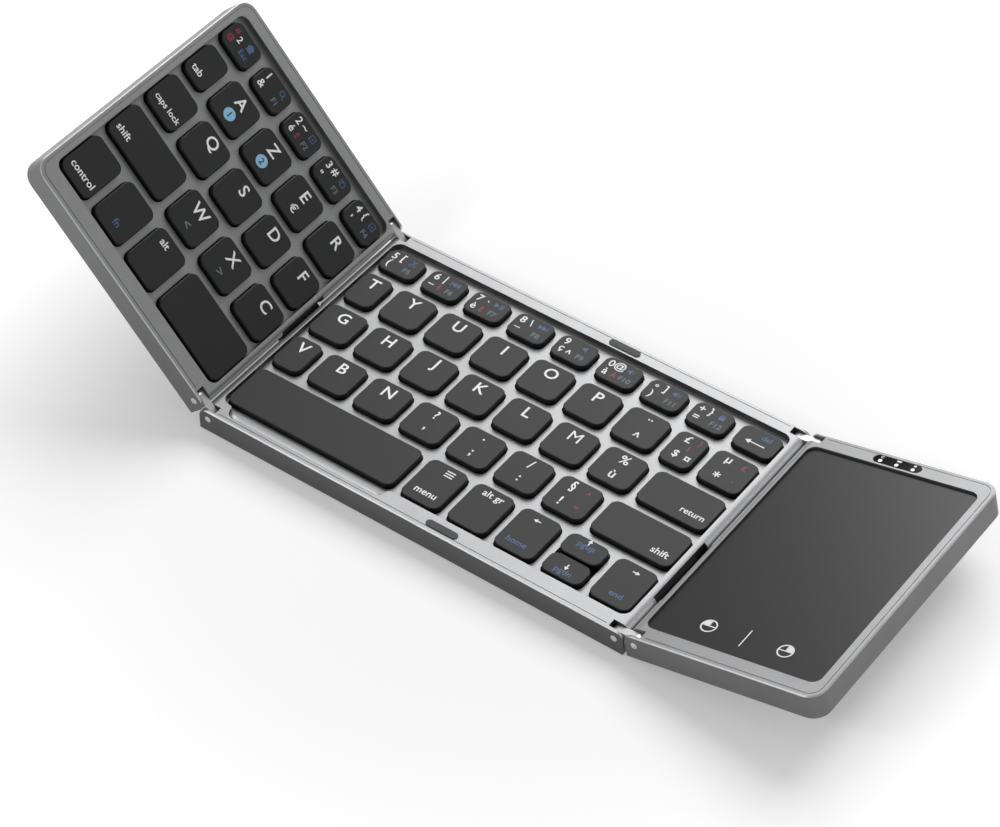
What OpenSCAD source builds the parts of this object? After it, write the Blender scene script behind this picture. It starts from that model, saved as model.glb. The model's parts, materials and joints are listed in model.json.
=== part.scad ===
// Pocket keyboard in three panels. The left and right wings fold up and over
// onto the centre panel. Each fold turns on two pairs of pins joined by link bars,
// so the wings lie face down on the keys with the rims a hair apart.
// Lengths in mm, z = 0 is the table, y = 0 is the middle of the depth.
// The part is drawn as photographed: both wings part way up.

/* [Panels] */
// Front to back size of every panel
depth = 98; // [90:1:110]
// Height of a panel from its underside to its rim
body_t = 8; // [7.6:0.1:10]
// Width of the centre panel
centre_w = 153.4; // [140:0.2:170]
// Width of the left wing
left_w = 87.8; // [80:0.1:95]
// Gap between the free ends of the closed wings
wing_seam = 1; // [0.6:0.1:3]
// Plan radius of the outer corners
corner_r = 5; // [2.5:0.5:7]
// Rim left on the free side of the left wing
side_rim = 3.2; // [2.5:0.1:3.8]
// Rim behind the key pocket
back_rim = 4.8; // [4.6:0.1:6]
// Rim in front of the key pocket
front_rim = 6.3; // [6:0.1:6.6]
// Plan radius of the pocket corners
pocket_r = 3; // [1.5:0.5:4]
// Bright chamfer along the top edges
edge_chamfer = 0.35; // [0.1:0.05:0.5]
// Distance of the seam in the rim from the outer faces
seam_in = 1.3; // [1.1:0.1:1.6]
// Width and depth of the seam
seam_w = 0.2; // [0.1:0.05:0.3]

/* [Casing] */
// Depth of the key pocket below the rim
pocket_depth = 2; // [1.8:0.1:2.4]
// Thickness of the webs between the keys
web_t = 0.8; // [0.6:0.1:1]
// Thickness of the bottom plates
plate_t = 0.8; // [0.6:0.1:0.9]
// Thickness of the leather covers under the panels
leather_t = 0.5; // [0.3:0.1:0.7]
// Width of the metal lip around the leather
lip_w = 0.8; // [0.6:0.1:1.2]
// Height of the rubber feet
foot_h = 0.5; // [0.4:0.1:1.2]
// Length of a rubber foot
foot_l = 12.5; // [8:0.5:16]
// Width of a rubber foot
foot_w = 2.5; // [1.5:0.1:4]
// Distance from a panel's edges to the centre of a foot, along x and y
foot_in = [14, 8]; // [6:1:18]

/* [Folds] */
// Gap between a wing and the centre panel, open and closed
fold_gap = 0.5; // [0.4:0.1:1]
// Distance of a hinge pin from the end face and from the rim, also the edge radius
pin_in = 3.2; // [3.1:0.1:3.6]
// Radius of a hinge pin
pin_r = 0.8; // [0.6:0.05:1]
// Length of a hinge pin
pin_l = 4.8; // [4.2:0.1:5.5]
// Free play between a pin and the bore of a link bar
pin_play = 0.05; // [0.03:0.01:0.09]
// Width of a link bar
link_w = 2.4; // [2:0.1:2.6]
// Height of a link bar
link_h = 4.2; // [3.6:0.1:4.4]
// Play beside a link bar in its slot
link_play = 0.2; // [0.1:0.05:0.3]
// Thickness of the ear outside a link bar
ear_t = 0.9; // [0.7:0.1:1.1]
// Tilt of the left link bars as photographed
left_link_tilt = 43.8; // [0:0.1:90]
// Tilt of the left wing as photographed
left_tilt = 47.9; // [43.8:0.1:100]
// Tilt of the right link bars as photographed
right_link_tilt = 11.8; // [0:0.1:90]
// Tilt of the right wing as photographed
right_tilt = 13.6; // [11.8:0.1:60]

/* [Keys] */
// Gap between neighbouring keys of a row
key_gap = 3; // [2.8:0.1:3.2]
// Gap between rows
row_gap = 3.5; // [3:0.1:4]
// Distance from the back of the pocket to the first row
row_start = 2.7; // [1:0.1:3]
// Distance from the last row to the front of the pocket
row_end = 1.3; // [1:0.1:2]
// Depth of the digit row, then of the three letter rows, then of the space row; they fill the pocket
row_depths = [9.7, 14, 14, 14, 17.2]; // [9:0.1:18]
// Width of a digit key; the keys of a row fill the pocket in these proportions
digit_w = 13.4; // [12:0.1:15]
// Width of a letter key
letter_w = 14.3; // [13:0.1:15.5]
// Width of the narrow keys at the folds
narrow_w = 10.4; // [9:0.1:12]
// Width of the modifier and arrow keys
mod_w = 13.7; // [12.5:0.1:15]
// Width of the caps lock key
caps_w = 14.1; // [12.5:0.1:15]
// Width of the last two keys of the home row of the left wing
short_w = 12.6; // [12:0.1:14.5]
// Width of the backspace key
backspace_w = 13.9; // [12:0.1:16]
// Width of the last key of the upper letter row
mark_w = 14.5; // [12:0.1:16]
// Width of the return key
return_w = 24; // [20:0.5:28]
// Width of the shift keys, left then right
shift_w = [27.8, 27.9]; // [24:0.1:32]
// Width of the space keys, left then right
space_w = [29.9, 61.6]; // [25:0.1:66]
// Plan radius of a key
key_r = 2.6; // [1.5:0.1:3]
// Chamfer around the top of a key
key_chamfer = 0.25; // [0.1:0.05:0.4]
// Gap around a key in its opening
key_play = 0.3; // [0.2:0.05:0.4]
// Distance of the key tops below the rim
key_drop = 0.15; // [0.1:0.05:0.3]
// Key travel
key_travel = 1.3; // [1:0.1:1.4]
// Thickness of a key's skirt
key_wall = 0.8; // [0.6:0.1:1]
// Thickness of a key's top
key_top_t = 0.7; // [0.5:0.1:0.9]
// Reach of the retaining tabs under the webs
tab_reach = 0.6; // [0.4:0.1:0.7]
// Thickness of the retaining tabs
tab_t = 0.55; // [0.4:0.05:0.7]
// Radius of the stem under a key
stem_r = 1.5; // [1.2:0.1:1.8]
// Gap between the two half-depth arrow keys
half_gap = 1; // [0.8:0.1:1.4]
// Radius of a rubber dome at its base
dome_r = 2.6; // [2:0.1:3]

/* [Details] */
// Length of the finger scoop that widens the pocket in front of the space bar
scoop_l = 58; // [50:0.5:60]
// Distance of the scoop from the left end of the centre panel
scoop_in = 8.2; // [8:0.1:10]
// Rim left in front of the scoop
scoop_lip = 2.2; // [2:0.1:3]
// Plan radius of the scoop's outer corners
scoop_r = 3; // [2:0.5:3.5]
// Plan radius where the scoop meets the pocket
scoop_blend_r = 1.5; // [0.5:0.5:1.5]
// Length of a rubber bumper in the rim
bumper_l = 11.1; // [8:0.1:14]
// Width of a rubber bumper
bumper_w = 2.4; // [1.8:0.1:2.8]
// Height of a bumper above the rim
bumper_rise = 0.3; // [0.1:0.05:0.35]
// Frame left between the touch plate and the free end of the right wing
touch_rim = 3.6; // [3:0.1:5]
// Depth of the touch plate below the rim
touch_drop = 0.8; // [0.4:0.1:1.2]
// Thickness of the touch plate
touch_t = 1; // [0.8:0.1:1.4]
// Width of the indicator window
window_w = 3.5; // [2.5:0.1:4]
// Length of the window as a share of the right wing
window_share = 0.25; // [0.2:0.01:0.3]
// Spacing of the lights as a share of the room between socket and switch
light_share = 0.27; // [0.2:0.01:0.3]
// Centre of the charging socket from the hinge end of the right wing
socket_x = 17; // [17:0.5:20]
// Width and height of the charging socket
socket_size = [8.94, 3.26]; // [3:0.01:9.5]
// Centre of the power switch from the free end of the right wing
switch_in = 17.1; // [16.1:0.5:20.1]
// Travel of the power switch
switch_travel = 2.4; // [1.5:0.1:3]

/* [Hidden] */
$fn = 48;
// A hair that lets a cut pass through the face it opens
eps = 0.02;
// Levels, from the table up
bottom_z = foot_h;
top_z = bottom_z + body_t;
leather_z = bottom_z;
plate_z = leather_z + leather_t;
plate_top = plate_z + plate_t;
board_lift = 0.2;
board_z = plate_top + board_lift;
board_t = 0.8;
board_top = board_z + board_t;
web_top = top_z - pocket_depth;
web_z = web_top - web_t;
// The closed wings cover the centre panel from end to end
right_w = centre_w - left_w - wing_seam;
// Folds: all four pins of a fold lie at one level when the panels are flat
pin_z = top_z - pin_in;
pin_span = 2 * pin_in + fold_gap;
pin_x = centre_w / 2 - pin_in;
end_bar = pin_in + 0.2;
slot_w = link_w + 2 * link_play;
slot_y = depth / 2 - ear_t - slot_w / 2;
slot_r = link_h / 2 + 0.3;
// Pocket on every keyed panel
pocket_back = depth / 2 - back_rim;
pocket_front = -depth / 2 + front_rim;
// Keys
rows_room = pocket_back - pocket_front - row_start - row_end - row_gap * (len(row_depths) - 1);
row_d = row_depths * rows_room / total(row_depths);
centre_margin = 0.75;
left_hinge_margin = 0.4;
left_free_margin = 0.8;
hollow_reach = 0.6;
cap_top = top_z - key_drop;
tab_top = web_z - 0.05;
cap_z = tab_top - tab_t;
dome_base_t = 0.3;
dome_z = board_top + dome_base_t;
dome_flat = 0.5;
stem_z = dome_z + key_travel + dome_flat;
dome_play = 0.05;
// Flat cables cross the folds in notches, below the line of the pins
cable_t = 0.3;
cable_drop = 2.2;
notch_in = 1.6;
left_cable_y = [-10.5, 9];
right_cable_w = 25.3;
right_cable_mid = -0.1923 * depth;
right_cable_y = [right_cable_mid - right_cable_w / 2, right_cable_mid + right_cable_w / 2];
connector_d = 2;
connector_h = 0.9;
board_play = 0.4;
post_r = 1.5;
post_in = [6, 12];
cable_end = end_bar + 1.3;
// Screws
screw_r = 0.7;
screw_head_r = 1.5;
screw_head_t = 0.4;
screw_l = 3.6;
screw_edge = 2.6;
// The photographed part is as wide to the left as to the right of x = 0
wing_reach_l = pin_x + pin_span * cos(left_link_tilt) + (left_w - pin_in) * cos(left_tilt)
    + (pin_z - bottom_z) * sin(left_tilt);
wing_reach_r = pin_x + pin_span * cos(right_link_tilt) + (right_w - pin_in) * cos(right_tilt)
    + (pin_z - bottom_z) * sin(right_tilt);
middle_x = (wing_reach_l - wing_reach_r) / 2;

metal = [0.72, 0.73, 0.74];
dark_metal = [0.5, 0.51, 0.52];
key_colour = [0.16, 0.16, 0.17];

// Places

module on_centre() {
    translate([middle_x, 0, 0]) children();
}

// Left wing: its own x runs from -left_w at the free end to 0 at the hinge end
module on_left() {
    on_centre() translate([-pin_x, 0, pin_z]) rotate([0, left_link_tilt, 0])
        translate([-pin_span, 0, 0]) rotate([0, left_tilt - left_link_tilt, 0])
        translate([pin_in, 0, -pin_z]) children();
}

// Right wing: its own x runs from 0 at the hinge end to right_w at the free end
module on_right() {
    on_centre() translate([pin_x, 0, pin_z]) rotate([0, -right_link_tilt, 0])
        translate([pin_span, 0, 0]) rotate([0, right_link_tilt - right_tilt, 0])
        translate([-pin_in, 0, -pin_z]) children();
}

// Flat shapes

// Rectangle from low to high whose left and right corners have their own radii
module rounded(low, high, r_left, r_right) {
    difference() {
        translate(low) square(high - low);
        corner_cut(low, [1, 1], r_left);
        corner_cut([low[0], high[1]], [1, -1], r_left);
        corner_cut([high[0], low[1]], [-1, 1], r_right);
        corner_cut(high, [-1, -1], r_right);
    }
}

module corner_cut(at, inward, r) {
    if (r > 0) difference() {
        translate([at[0] + inward[0] * r / 2, at[1] + inward[1] * r / 2])
            square([r + eps, r + eps], center = true);
        translate([at[0] + inward[0] * (r + eps / 2), at[1] + inward[1] * (r + eps / 2)]) circle(r);
    }
}

module stadium(l, w) {
    square([l - w, w], center = true);
    for (side = [-1, 1]) translate([side * (l - w) / 2, 0]) circle(d = w);
}

// Plan of a panel from x0 to x1, drawn in by inset; the free end has round corners
module panel_plan(x0, x1, r0, r1, inset = 0) {
    rounded([x0 + inset, -depth / 2 + inset], [x1 - inset, depth / 2 - inset],
        max(r0 - inset, 0), max(r1 - inset, 0));
}

// Casing

// Block of a panel with the top edge of each hinge end rounded about its pins
module panel_block(x0, x1, r0, r1) {
    intersection() {
        union() {
            translate([0, 0, bottom_z]) linear_extrude(body_t - edge_chamfer) panel_plan(x0, x1, r0, r1);
            translate([0, 0, top_z - edge_chamfer]) chamfered_rim(x0, x1, r0, r1);
        }
        translate([0, depth / 2 + 1, 0]) rotate([90, 0, 0]) linear_extrude(depth + 2)
            panel_side(x0, x1, r0 == 0, r1 == 0);
    }
}

// Top slice of a panel: chamfered along the front, the back and the free ends
module chamfered_rim(x0, x1, r0, r1) {
    c = edge_chamfer;
    translate([x0 + r0, 0, 0]) rotate([90, 0, 90]) linear_extrude(x1 - r1 - x0 - r0)
        polygon([[-depth / 2, 0], [depth / 2, 0], [depth / 2 - c, c], [-depth / 2 + c, c]]);
    if (r0 > 0) translate([x0 + r0, 0, 0]) free_end(r0);
    if (r1 > 0) translate([x1 - r1, 0, 0]) mirror([1, 0, 0]) free_end(r1);
}

// Chamfered strip to the left of x = 0 with round corners
module free_end(r) {
    c = edge_chamfer;
    translate([0, depth / 2 - r, 0]) rotate([90, 0, 0]) linear_extrude(depth - 2 * r)
        polygon([[0, 0], [-r, 0], [-r + c, c], [0, c]]);
    for (side = [-1, 1]) translate([0, side * (depth / 2 - r), 0]) cylinder(r1 = r, r2 = r - c, h = c);
}

// Fine seam in the rim, clear of the link slots at the hinge ends
module seam(x0, x1, r0, r1) {
    clear = pin_in + slot_r + 1;
    translate([0, 0, top_z - seam_w]) linear_extrude(seam_w + eps) intersection() {
        difference() {
            panel_plan(x0, x1, r0, r1, seam_in);
            panel_plan(x0, x1, r0, r1, seam_in + seam_w);
        }
        translate([r0 > 0 ? x0 : x0 + clear, -depth / 2])
            square([(r1 > 0 ? x1 : x1 - clear) - (r0 > 0 ? x0 : x0 + clear), depth]);
    }
}

module panel_side(x0, x1, round0, round1) {
    difference() {
        translate([x0, bottom_z]) square([x1 - x0, body_t]);
        if (round0) edge_cut(x0, 1);
        if (round1) edge_cut(x1, -1);
    }
}

// Corner outside the arc about a pin; the cut ends a hair before the arc meets the flat top
module edge_cut(x, inward) {
    difference() {
        translate([x + inward * (pin_in / 2 - eps), pin_z + pin_in / 2 + eps])
            square([pin_in + 2 * eps, pin_in + 2 * eps], center = true);
        translate([x + inward * pin_in, pin_z]) circle(pin_in);
        translate([x + inward * pin_in, pin_z]) square([4 * eps, 2 * pin_in], center = true);
    }
}

// Recess under a panel for its bottom plate and leather
module underside_cut(x0, x1, r0, r1) {
    translate([0, 0, bottom_z - eps]) linear_extrude(plate_top - bottom_z + eps)
        panel_plan(x0, x1, r0, r1, lip_w);
}

// Slots, pin bores and cable notch of a hinge end at x, whose panel lies towards inward
module hinge_cuts(x, inward, cable_y) {
    for (side = [-1, 1]) {
        translate([x + inward * pin_in, side * slot_y, pin_z]) rotate([90, 0, 0])
            linear_extrude(slot_w, center = true) slot_side(inward);
        translate([x + inward * pin_in, side * (depth / 2 + eps), pin_z]) rotate([90 * side, 0, 0])
            cylinder(r = pin_r, h = pin_l + eps);
    }
    notch_y = cable_y[0] - cable_t;
    notch_w = cable_y[1] - cable_y[0] + 2 * cable_t;
    translate([x + min(inward * notch_in, -inward * eps), notch_y, pin_z - cable_drop - 2 * cable_t])
        cube([notch_in + eps, notch_w, top_z]);
    translate([x + min(inward * (end_bar + eps), 0), notch_y, pin_z - cable_drop - cable_t])
        cube([end_bar + eps, notch_w, 2 * cable_t]);
}

// Side view of a link slot, open at the rim and at the end face
module slot_side(inward) {
    circle(slot_r);
    translate([-slot_r, 0]) square([2 * slot_r, pin_in + eps]);
    mirror([inward > 0 ? 1 : 0, 0]) translate([0, -slot_r]) square([pin_in + eps, slot_r + pin_in + eps]);
}

// Key pocket above the webs and hollow below them
module key_hollow(x0, x1) {
    translate([0, 0, web_top]) linear_extrude(pocket_depth + eps)
        rounded([x0, pocket_front], [x1, pocket_back], pocket_r, pocket_r);
    translate([0, 0, plate_top - eps]) linear_extrude(web_z - plate_top + eps)
        rounded([x0 - hollow_reach, pocket_front], [x1 + hollow_reach, pocket_back], pocket_r, pocket_r);
}

// Finger scoop: the pocket reaches forward beside the space bar
module scoop_cut() {
    x0 = -centre_w / 2 + scoop_in;
    x1 = x0 + scoop_l;
    translate([0, 0, web_top]) linear_extrude(pocket_depth + eps) {
        rounded([x0, -depth / 2 + scoop_lip], [x1, pocket_front + scoop_r], scoop_r, scoop_r);
        corner_cut([x0, pocket_front + eps], [-1, -1], scoop_blend_r);
        corner_cut([x1, pocket_front + eps], [1, -1], scoop_blend_r);
    }
}

// Keys

function total(v, i = 0) = i < len(v) ? v[i] + total(v, i + 1) : 0;
// Widths of a row's keys, stretched so that the row fills its span
function filled(v, span) = v * (span - key_gap * (len(v) - 1)) / total(v);
// Left edge of key i in a row that starts at x
function key_left(v, i, x) = i == 0 ? x : key_left(v, i - 1, x) + v[i - 1] + key_gap;
// Back edge of row r
function rows_before(r) = r == 0 ? 0 : total([for (i = [0 : r - 1]) row_d[i]]) + r * row_gap;
function row_back(r) = pocket_back - row_start - rows_before(r);
function row_y(r) = row_back(r) - row_d[r] / 2;

centre_x0 = -centre_w / 2 + end_bar;
centre_x1 = centre_w / 2 - end_bar;
centre_start = centre_x0 + centre_margin;
centre_span = centre_x1 - centre_margin - centre_start;
left_x0 = -left_w + side_rim;
left_x1 = -end_bar;
left_start = left_x0 + left_free_margin;
left_span = left_x1 - left_hinge_margin - left_start;

centre_rows = [
    filled([for (i = [1 : 8]) digit_w, backspace_w], centre_span),
    filled([narrow_w, for (i = [1 : 6]) letter_w, narrow_w, mark_w], centre_span),
    filled([for (i = [1 : 7]) letter_w, return_w], centre_span),
    filled([narrow_w, for (i = [1 : 6]) letter_w, shift_w[1]], centre_span),
    filled([space_w[1], for (i = [1 : 5]) mod_w], centre_span)
];
left_rows = [
    filled([for (i = [1 : 5]) digit_w], left_span),
    filled([narrow_w, for (i = [1 : 4]) letter_w], left_span),
    filled([caps_w, letter_w, letter_w, short_w, short_w], left_span),
    filled([shift_w[0], letter_w, letter_w, letter_w], left_span),
    filled([mod_w, mod_w, mod_w, space_w[0]], left_span)
];
// The last key but one of the space row is split into two arrow keys
half_key = len(centre_rows[4]) - 2;
half_depth = (row_d[4] - half_gap) / 2;
half_shift = (half_depth + half_gap) / 2;

// Calls its child at the middle of key i of row r, with the key's size in $key
module at_key(rows, start, r, i) {
    $key = [rows[r][i], row_d[r]];
    translate([key_left(rows[r], i, start) + rows[r][i] / 2, row_y(r), 0]) children();
}

module key_openings(rows, start) {
    translate([0, 0, web_z - eps]) linear_extrude(web_t + 2 * eps)
        for (r = [0 : 4], i = [0 : len(rows[r]) - 1]) at_key(rows, start, r, i)
            rounded(-$key / 2 - [key_play, key_play], $key / 2 + [key_play, key_play], key_r, key_r);
}

// Hollow cap with a chamfered top, a round stem and two tabs held under the webs
module cap(size) {
    color(key_colour) difference() {
        union() {
            translate([0, 0, cap_z]) linear_extrude(cap_top - key_chamfer - cap_z)
                rounded(-size / 2, size / 2, key_r, key_r);
            chamfered_top(size);
            translate([-size[0] / 2 - key_play - tab_reach, -size[1] / 2 + key_r, cap_z])
                cube([size[0] + 2 * (key_play + tab_reach), size[1] - 2 * key_r, tab_t]);
        }
        translate([0, 0, cap_z - eps]) linear_extrude(cap_top - key_top_t - cap_z + eps)
            difference() {
                square(size - 2 * [key_wall, key_wall], center = true);
                circle(stem_r);
            }
    }
    color(key_colour) translate([0, 0, stem_z]) cylinder(r = stem_r, h = cap_z - stem_z + eps);
}

module chamfered_top(size) {
    inner = size - 2 * [key_r, key_r];
    base = cap_top - key_chamfer;
    for (sx = [-1, 1], sy = [-1, 1]) translate([sx * inner[0] / 2, sy * inner[1] / 2, base])
        cylinder(r1 = key_r, r2 = key_r - key_chamfer, h = key_chamfer);
    translate([0, inner[1] / 2, base]) rotate([90, 0, 0]) linear_extrude(inner[1]) chamfer_side(size[0]);
    translate([-inner[0] / 2, 0, base]) rotate([90, 0, 90]) linear_extrude(inner[0]) chamfer_side(size[1]);
}

module chamfer_side(w) {
    c = key_chamfer;
    polygon([[-w / 2, 0], [w / 2, 0], [w / 2 - c, c], [-w / 2 + c, c]]);
}

module centre_key(r, i) {
    on_centre() at_key(centre_rows, centre_start, r, i) cap($key);
}

module left_key(r, i) {
    on_left() at_key(left_rows, left_start, r, i) cap($key);
}

module half_arrow(side) {
    on_centre() at_key(centre_rows, centre_start, 4, half_key) translate([0, side * half_shift, 0])
        cap([$key[0], half_depth]);
}

// Rubber sheet with a dome under every key
module dome_sheet(x0, x1, rows, start, halves) {
    color("gainsboro") {
        translate([0, 0, board_top]) linear_extrude(dome_base_t)
            rounded([x0, pocket_front + 2 * board_play], [x1, pocket_back - 2 * board_play],
                pocket_r, pocket_r);
        for (r = [0 : 4], i = [0 : len(rows[r]) - 1]) at_key(rows, start, r, i)
            if (halves && r == 4 && i == half_key) {
                for (side = [-1, 1]) translate([0, side * half_shift, 0]) dome();
            } else {
                dome();
            }
    }
}

module dome() {
    translate([0, 0, dome_z - eps]) cylinder(r1 = dome_r, r2 = stem_r, h = stem_z - dome_play - dome_z + eps);
}

// Pieces shared by the panels

module bottom_plate(x0, x1, r0, r1, screws) {
    color(dark_metal) difference() {
        translate([0, 0, plate_z]) linear_extrude(plate_t) panel_plan(x0, x1, r0, r1, lip_w + 0.1);
        for (p = screws) translate([p[0], p[1], plate_z - eps]) {
            cylinder(r = screw_r + 0.1, h = plate_t + 2 * eps);
            cylinder(r = screw_head_r + 0.1, h = screw_head_t + eps);
        }
    }
}

module leather(x0, x1, r0, r1) {
    color([0.2, 0.2, 0.21]) translate([0, 0, leather_z]) linear_extrude(leather_t)
        panel_plan(x0, x1, r0, r1, lip_w + 0.1);
}

module feet(x0, x1) {
    color([0.08, 0.08, 0.08]) for (x = [x0 + foot_in[0], x1 - foot_in[0]], side = [-1, 1])
        translate([x, side * (depth / 2 - foot_in[1]), 0]) linear_extrude(foot_h) stadium(foot_l, foot_w);
}

module hinge_pins(x) {
    color("silver") for (side = [-1, 1])
        translate([x, side * depth / 2, pin_z]) rotate([90 * side, 0, 0]) cylinder(r = pin_r, h = pin_l);
}

module screws(places) {
    color("silver") for (p = places) translate([p[0], p[1], plate_z]) {
        cylinder(r = screw_head_r, h = screw_head_t);
        cylinder(r = screw_r, h = screw_l);
    }
}

module screw_bores(places) {
    for (p = places) translate([p[0], p[1], plate_z]) cylinder(r = screw_r, h = screw_l + eps);
}

// Places of the screws: n of them along each long rim between x0 and x1
function rim_screws(x0, x1, n) = [for (i = [0 : n - 1], side = [-1, 1])
    [x0 + (x1 - x0) * i / (n - 1), side * (depth / 2 - screw_edge)]];

screw_end = 11;
centre_screw_places = rim_screws(-centre_w / 2 + screw_end, centre_w / 2 - screw_end, 4);
left_screw_places = rim_screws(-left_w + screw_end, -screw_end, 3);
right_screw_places = rim_screws(screw_end - 2, right_w - screw_end + 4, 2);

// Circuit board from x0 to x1 with a connector at each flat cable
module circuit_board(x0, x1, connectors) {
    color([0.1, 0.35, 0.2]) translate([0, 0, board_z]) linear_extrude(board_t)
        rounded([x0, pocket_front + board_play], [x1, pocket_back - board_play], pocket_r, pocket_r);
    color([0.1, 0.35, 0.2]) for (x = [x0 + post_in[0], (x0 + x1) / 2, x1 - post_in[0]], side = [-1, 0, 1])
        translate([x, side * (depth / 2 - post_in[1]), plate_top]) cylinder(r = post_r, h = board_lift + eps);
    for (c = connectors) connector(c[0], c[1], c[2]);
}

// Cable connector whose mouth is at x and faces outward
module connector(x, outward, cable_y) {
    color("ivory") translate([x - (outward > 0 ? connector_d : 0), cable_y[0] - 1, board_top - eps])
        cube([connector_d, cable_y[1] - cable_y[0] + 2, connector_h + eps]);
}

// Links and cables

module links(turn, direction) {
    color("silver") for (side = [-1, 1]) translate([direction * pin_x, side * slot_y, pin_z])
        rotate([90, turn, 0]) linear_extrude(link_w, center = true) link_side(direction);
}

module link_side(direction) {
    difference() {
        union() {
            for (x = [0, pin_span]) translate([direction * x, 0]) circle(link_h / 2);
            translate([min(0, direction * pin_span), -link_h / 2]) square([pin_span, link_h]);
        }
        for (x = [0, pin_span]) translate([direction * x, 0]) circle(pin_r + pin_play);
    }
}

// Points of a cable in the side view, seen from the centre pin of a fold to the right
function turned(p, a) = [p[0] * cos(a) - p[1] * sin(a), p[0] * sin(a) + p[1] * cos(a)];
function cable_points(link, wing) = [
    [pin_in - cable_end, -cable_drop],
    [pin_in - notch_in, -cable_drop],
    turned([pin_in - notch_in, -cable_drop], link),
    turned([pin_span - pin_in + notch_in, -cable_drop], link),
    turned([pin_span, 0], link) + turned([notch_in - pin_in, -cable_drop], wing),
    turned([pin_span, 0], link) + turned([cable_end - pin_in, -cable_drop], wing)
];

module cable(link, wing, direction, cable_y) {
    p = cable_points(link, wing);
    color([0.15, 0.12, 0.1]) translate([direction * pin_x, cable_y[1], pin_z])
        mirror([direction < 0 ? 1 : 0, 0, 0]) rotate([90, 0, 0]) linear_extrude(cable_y[1] - cable_y[0]) {
            for (i = [0 : len(p) - 2]) cable_run(p[i], p[i + 1]);
            for (i = [1 : len(p) - 2]) translate(p[i]) circle(d = cable_t);
        }
}

module cable_run(a, b) {
    run = b - a;
    if (norm(run) > eps) translate(a) rotate(atan2(run[1], run[0])) translate([0, -cable_t / 2])
        square([norm(run), cable_t]);
}

// Centre panel

bumper_x = (left_w - right_w) / 2;
bumper_y = depth / 2 - 2.8;
bumper_sunk = 0.6;

module centre_frame() {
    color(metal) on_centre() difference() {
        panel_block(-centre_w / 2, centre_w / 2, 0, 0);
        underside_cut(-centre_w / 2, centre_w / 2, 0, 0);
        key_hollow(centre_x0, centre_x1);
        key_openings(centre_rows, centre_start);
        hinge_cuts(-centre_w / 2, 1, left_cable_y);
        hinge_cuts(centre_w / 2, -1, right_cable_y);
        screw_bores(centre_screw_places);
        scoop_cut();
        seam(-centre_w / 2, centre_w / 2, 0, 0);
        for (side = [-1, 1]) translate([bumper_x, side * bumper_y, top_z - bumper_sunk])
            linear_extrude(bumper_sunk + eps) stadium(bumper_l, bumper_w);
    }
}

module centre_bottom_plate() {
    on_centre() bottom_plate(-centre_w / 2, centre_w / 2, 0, 0, centre_screw_places);
}

module centre_leather() {
    on_centre() leather(-centre_w / 2, centre_w / 2, 0, 0);
}

module centre_circuit_board() {
    on_centre() circuit_board(centre_x0 + board_play, centre_x1 - board_play,
        [[-centre_w / 2 + cable_end, -1, left_cable_y], [centre_w / 2 - cable_end, 1, right_cable_y]]);
}

module centre_dome_sheet() {
    on_centre() dome_sheet(centre_x0 + 3.6, centre_x1 - 3.6, centre_rows, centre_start, true);
}

module centre_feet() {
    on_centre() feet(-centre_w / 2, centre_w / 2);
}

module centre_bumpers() {
    color([0.2, 0.2, 0.2]) on_centre() for (side = [-1, 1])
        translate([bumper_x, side * bumper_y, top_z - bumper_sunk])
            linear_extrude(bumper_sunk + bumper_rise) stadium(bumper_l, bumper_w);
}

module centre_hinge_pins() {
    on_centre() for (side = [-1, 1]) hinge_pins(side * pin_x);
}

module centre_screws() {
    on_centre() screws(centre_screw_places);
}

// Left wing

module left_frame() {
    color(metal) on_left() difference() {
        panel_block(-left_w, 0, corner_r, 0);
        underside_cut(-left_w, 0, corner_r, 0);
        key_hollow(left_x0, left_x1);
        key_openings(left_rows, left_start);
        seam(-left_w, 0, corner_r, 0);
        hinge_cuts(0, -1, left_cable_y);
        screw_bores(left_screw_places);
    }
}

module left_bottom_plate() {
    on_left() bottom_plate(-left_w, 0, corner_r, 0, left_screw_places);
}

module left_leather() {
    on_left() leather(-left_w, 0, corner_r, 0);
}

module left_circuit_board() {
    on_left() circuit_board(left_x0 + board_play, left_x1 - board_play, [[-cable_end, 1, left_cable_y]]);
}

module left_dome_sheet() {
    on_left() dome_sheet(left_x0 + 2, left_x1 - 3.6, left_rows, left_start, false);
}

module left_feet() {
    on_left() feet(-left_w, 0);
}

module left_hinge_pins() {
    on_left() hinge_pins(-pin_in);
}

module left_screws() {
    on_left() screws(left_screw_places);
}

// Right wing

touch_x0 = end_bar;
touch_x1 = right_w - touch_rim;
touch_y = depth / 2 - 5.5;
touch_z = top_z - touch_drop - touch_t;
touch_play = 0.1;
ledge_w = 1;
// Hollow behind the back rim for the socket, the switch and the lights
bay_in = [12, 10.6];
bay_x = [bay_in[0], right_w - bay_in[1]];
bay_y = depth / 2 - 1.2;
bay_top = top_z - 1.5;
window_y = depth / 2 - 3.15;
window_t = 0.8;
light_r = 0.7;
switch_x = right_w - switch_in;
chip = [9, 9, 1.2];
chip_in = [7, 12];
battery_in = [2, 4];
battery_h = 3.4;
board_y = 2;
socket_z = board_top + socket_size[1] / 2;
socket_l = 7.3;
socket_wall = 0.3;
switch_z = socket_z;
switch_slot = [3.5 + switch_travel, 1.8];
knob = [2.4, 1.3];
slider = [switch_slot[0] + switch_travel, 1.4, 2.8];
slider_y = bay_y - 0.1 - slider[1];
housing = [slider[0] + switch_travel + 0.4, 2.4];
lights_room = switch_x - housing[0] / 2 - socket_x - socket_size[0] / 2;
window_x = socket_x + socket_size[0] / 2 + lights_room / 2;
light_x = light_share * lights_room;
light_y = window_y - 0.4;
light_play = 0.2;
window_l = window_share * right_w;

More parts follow.
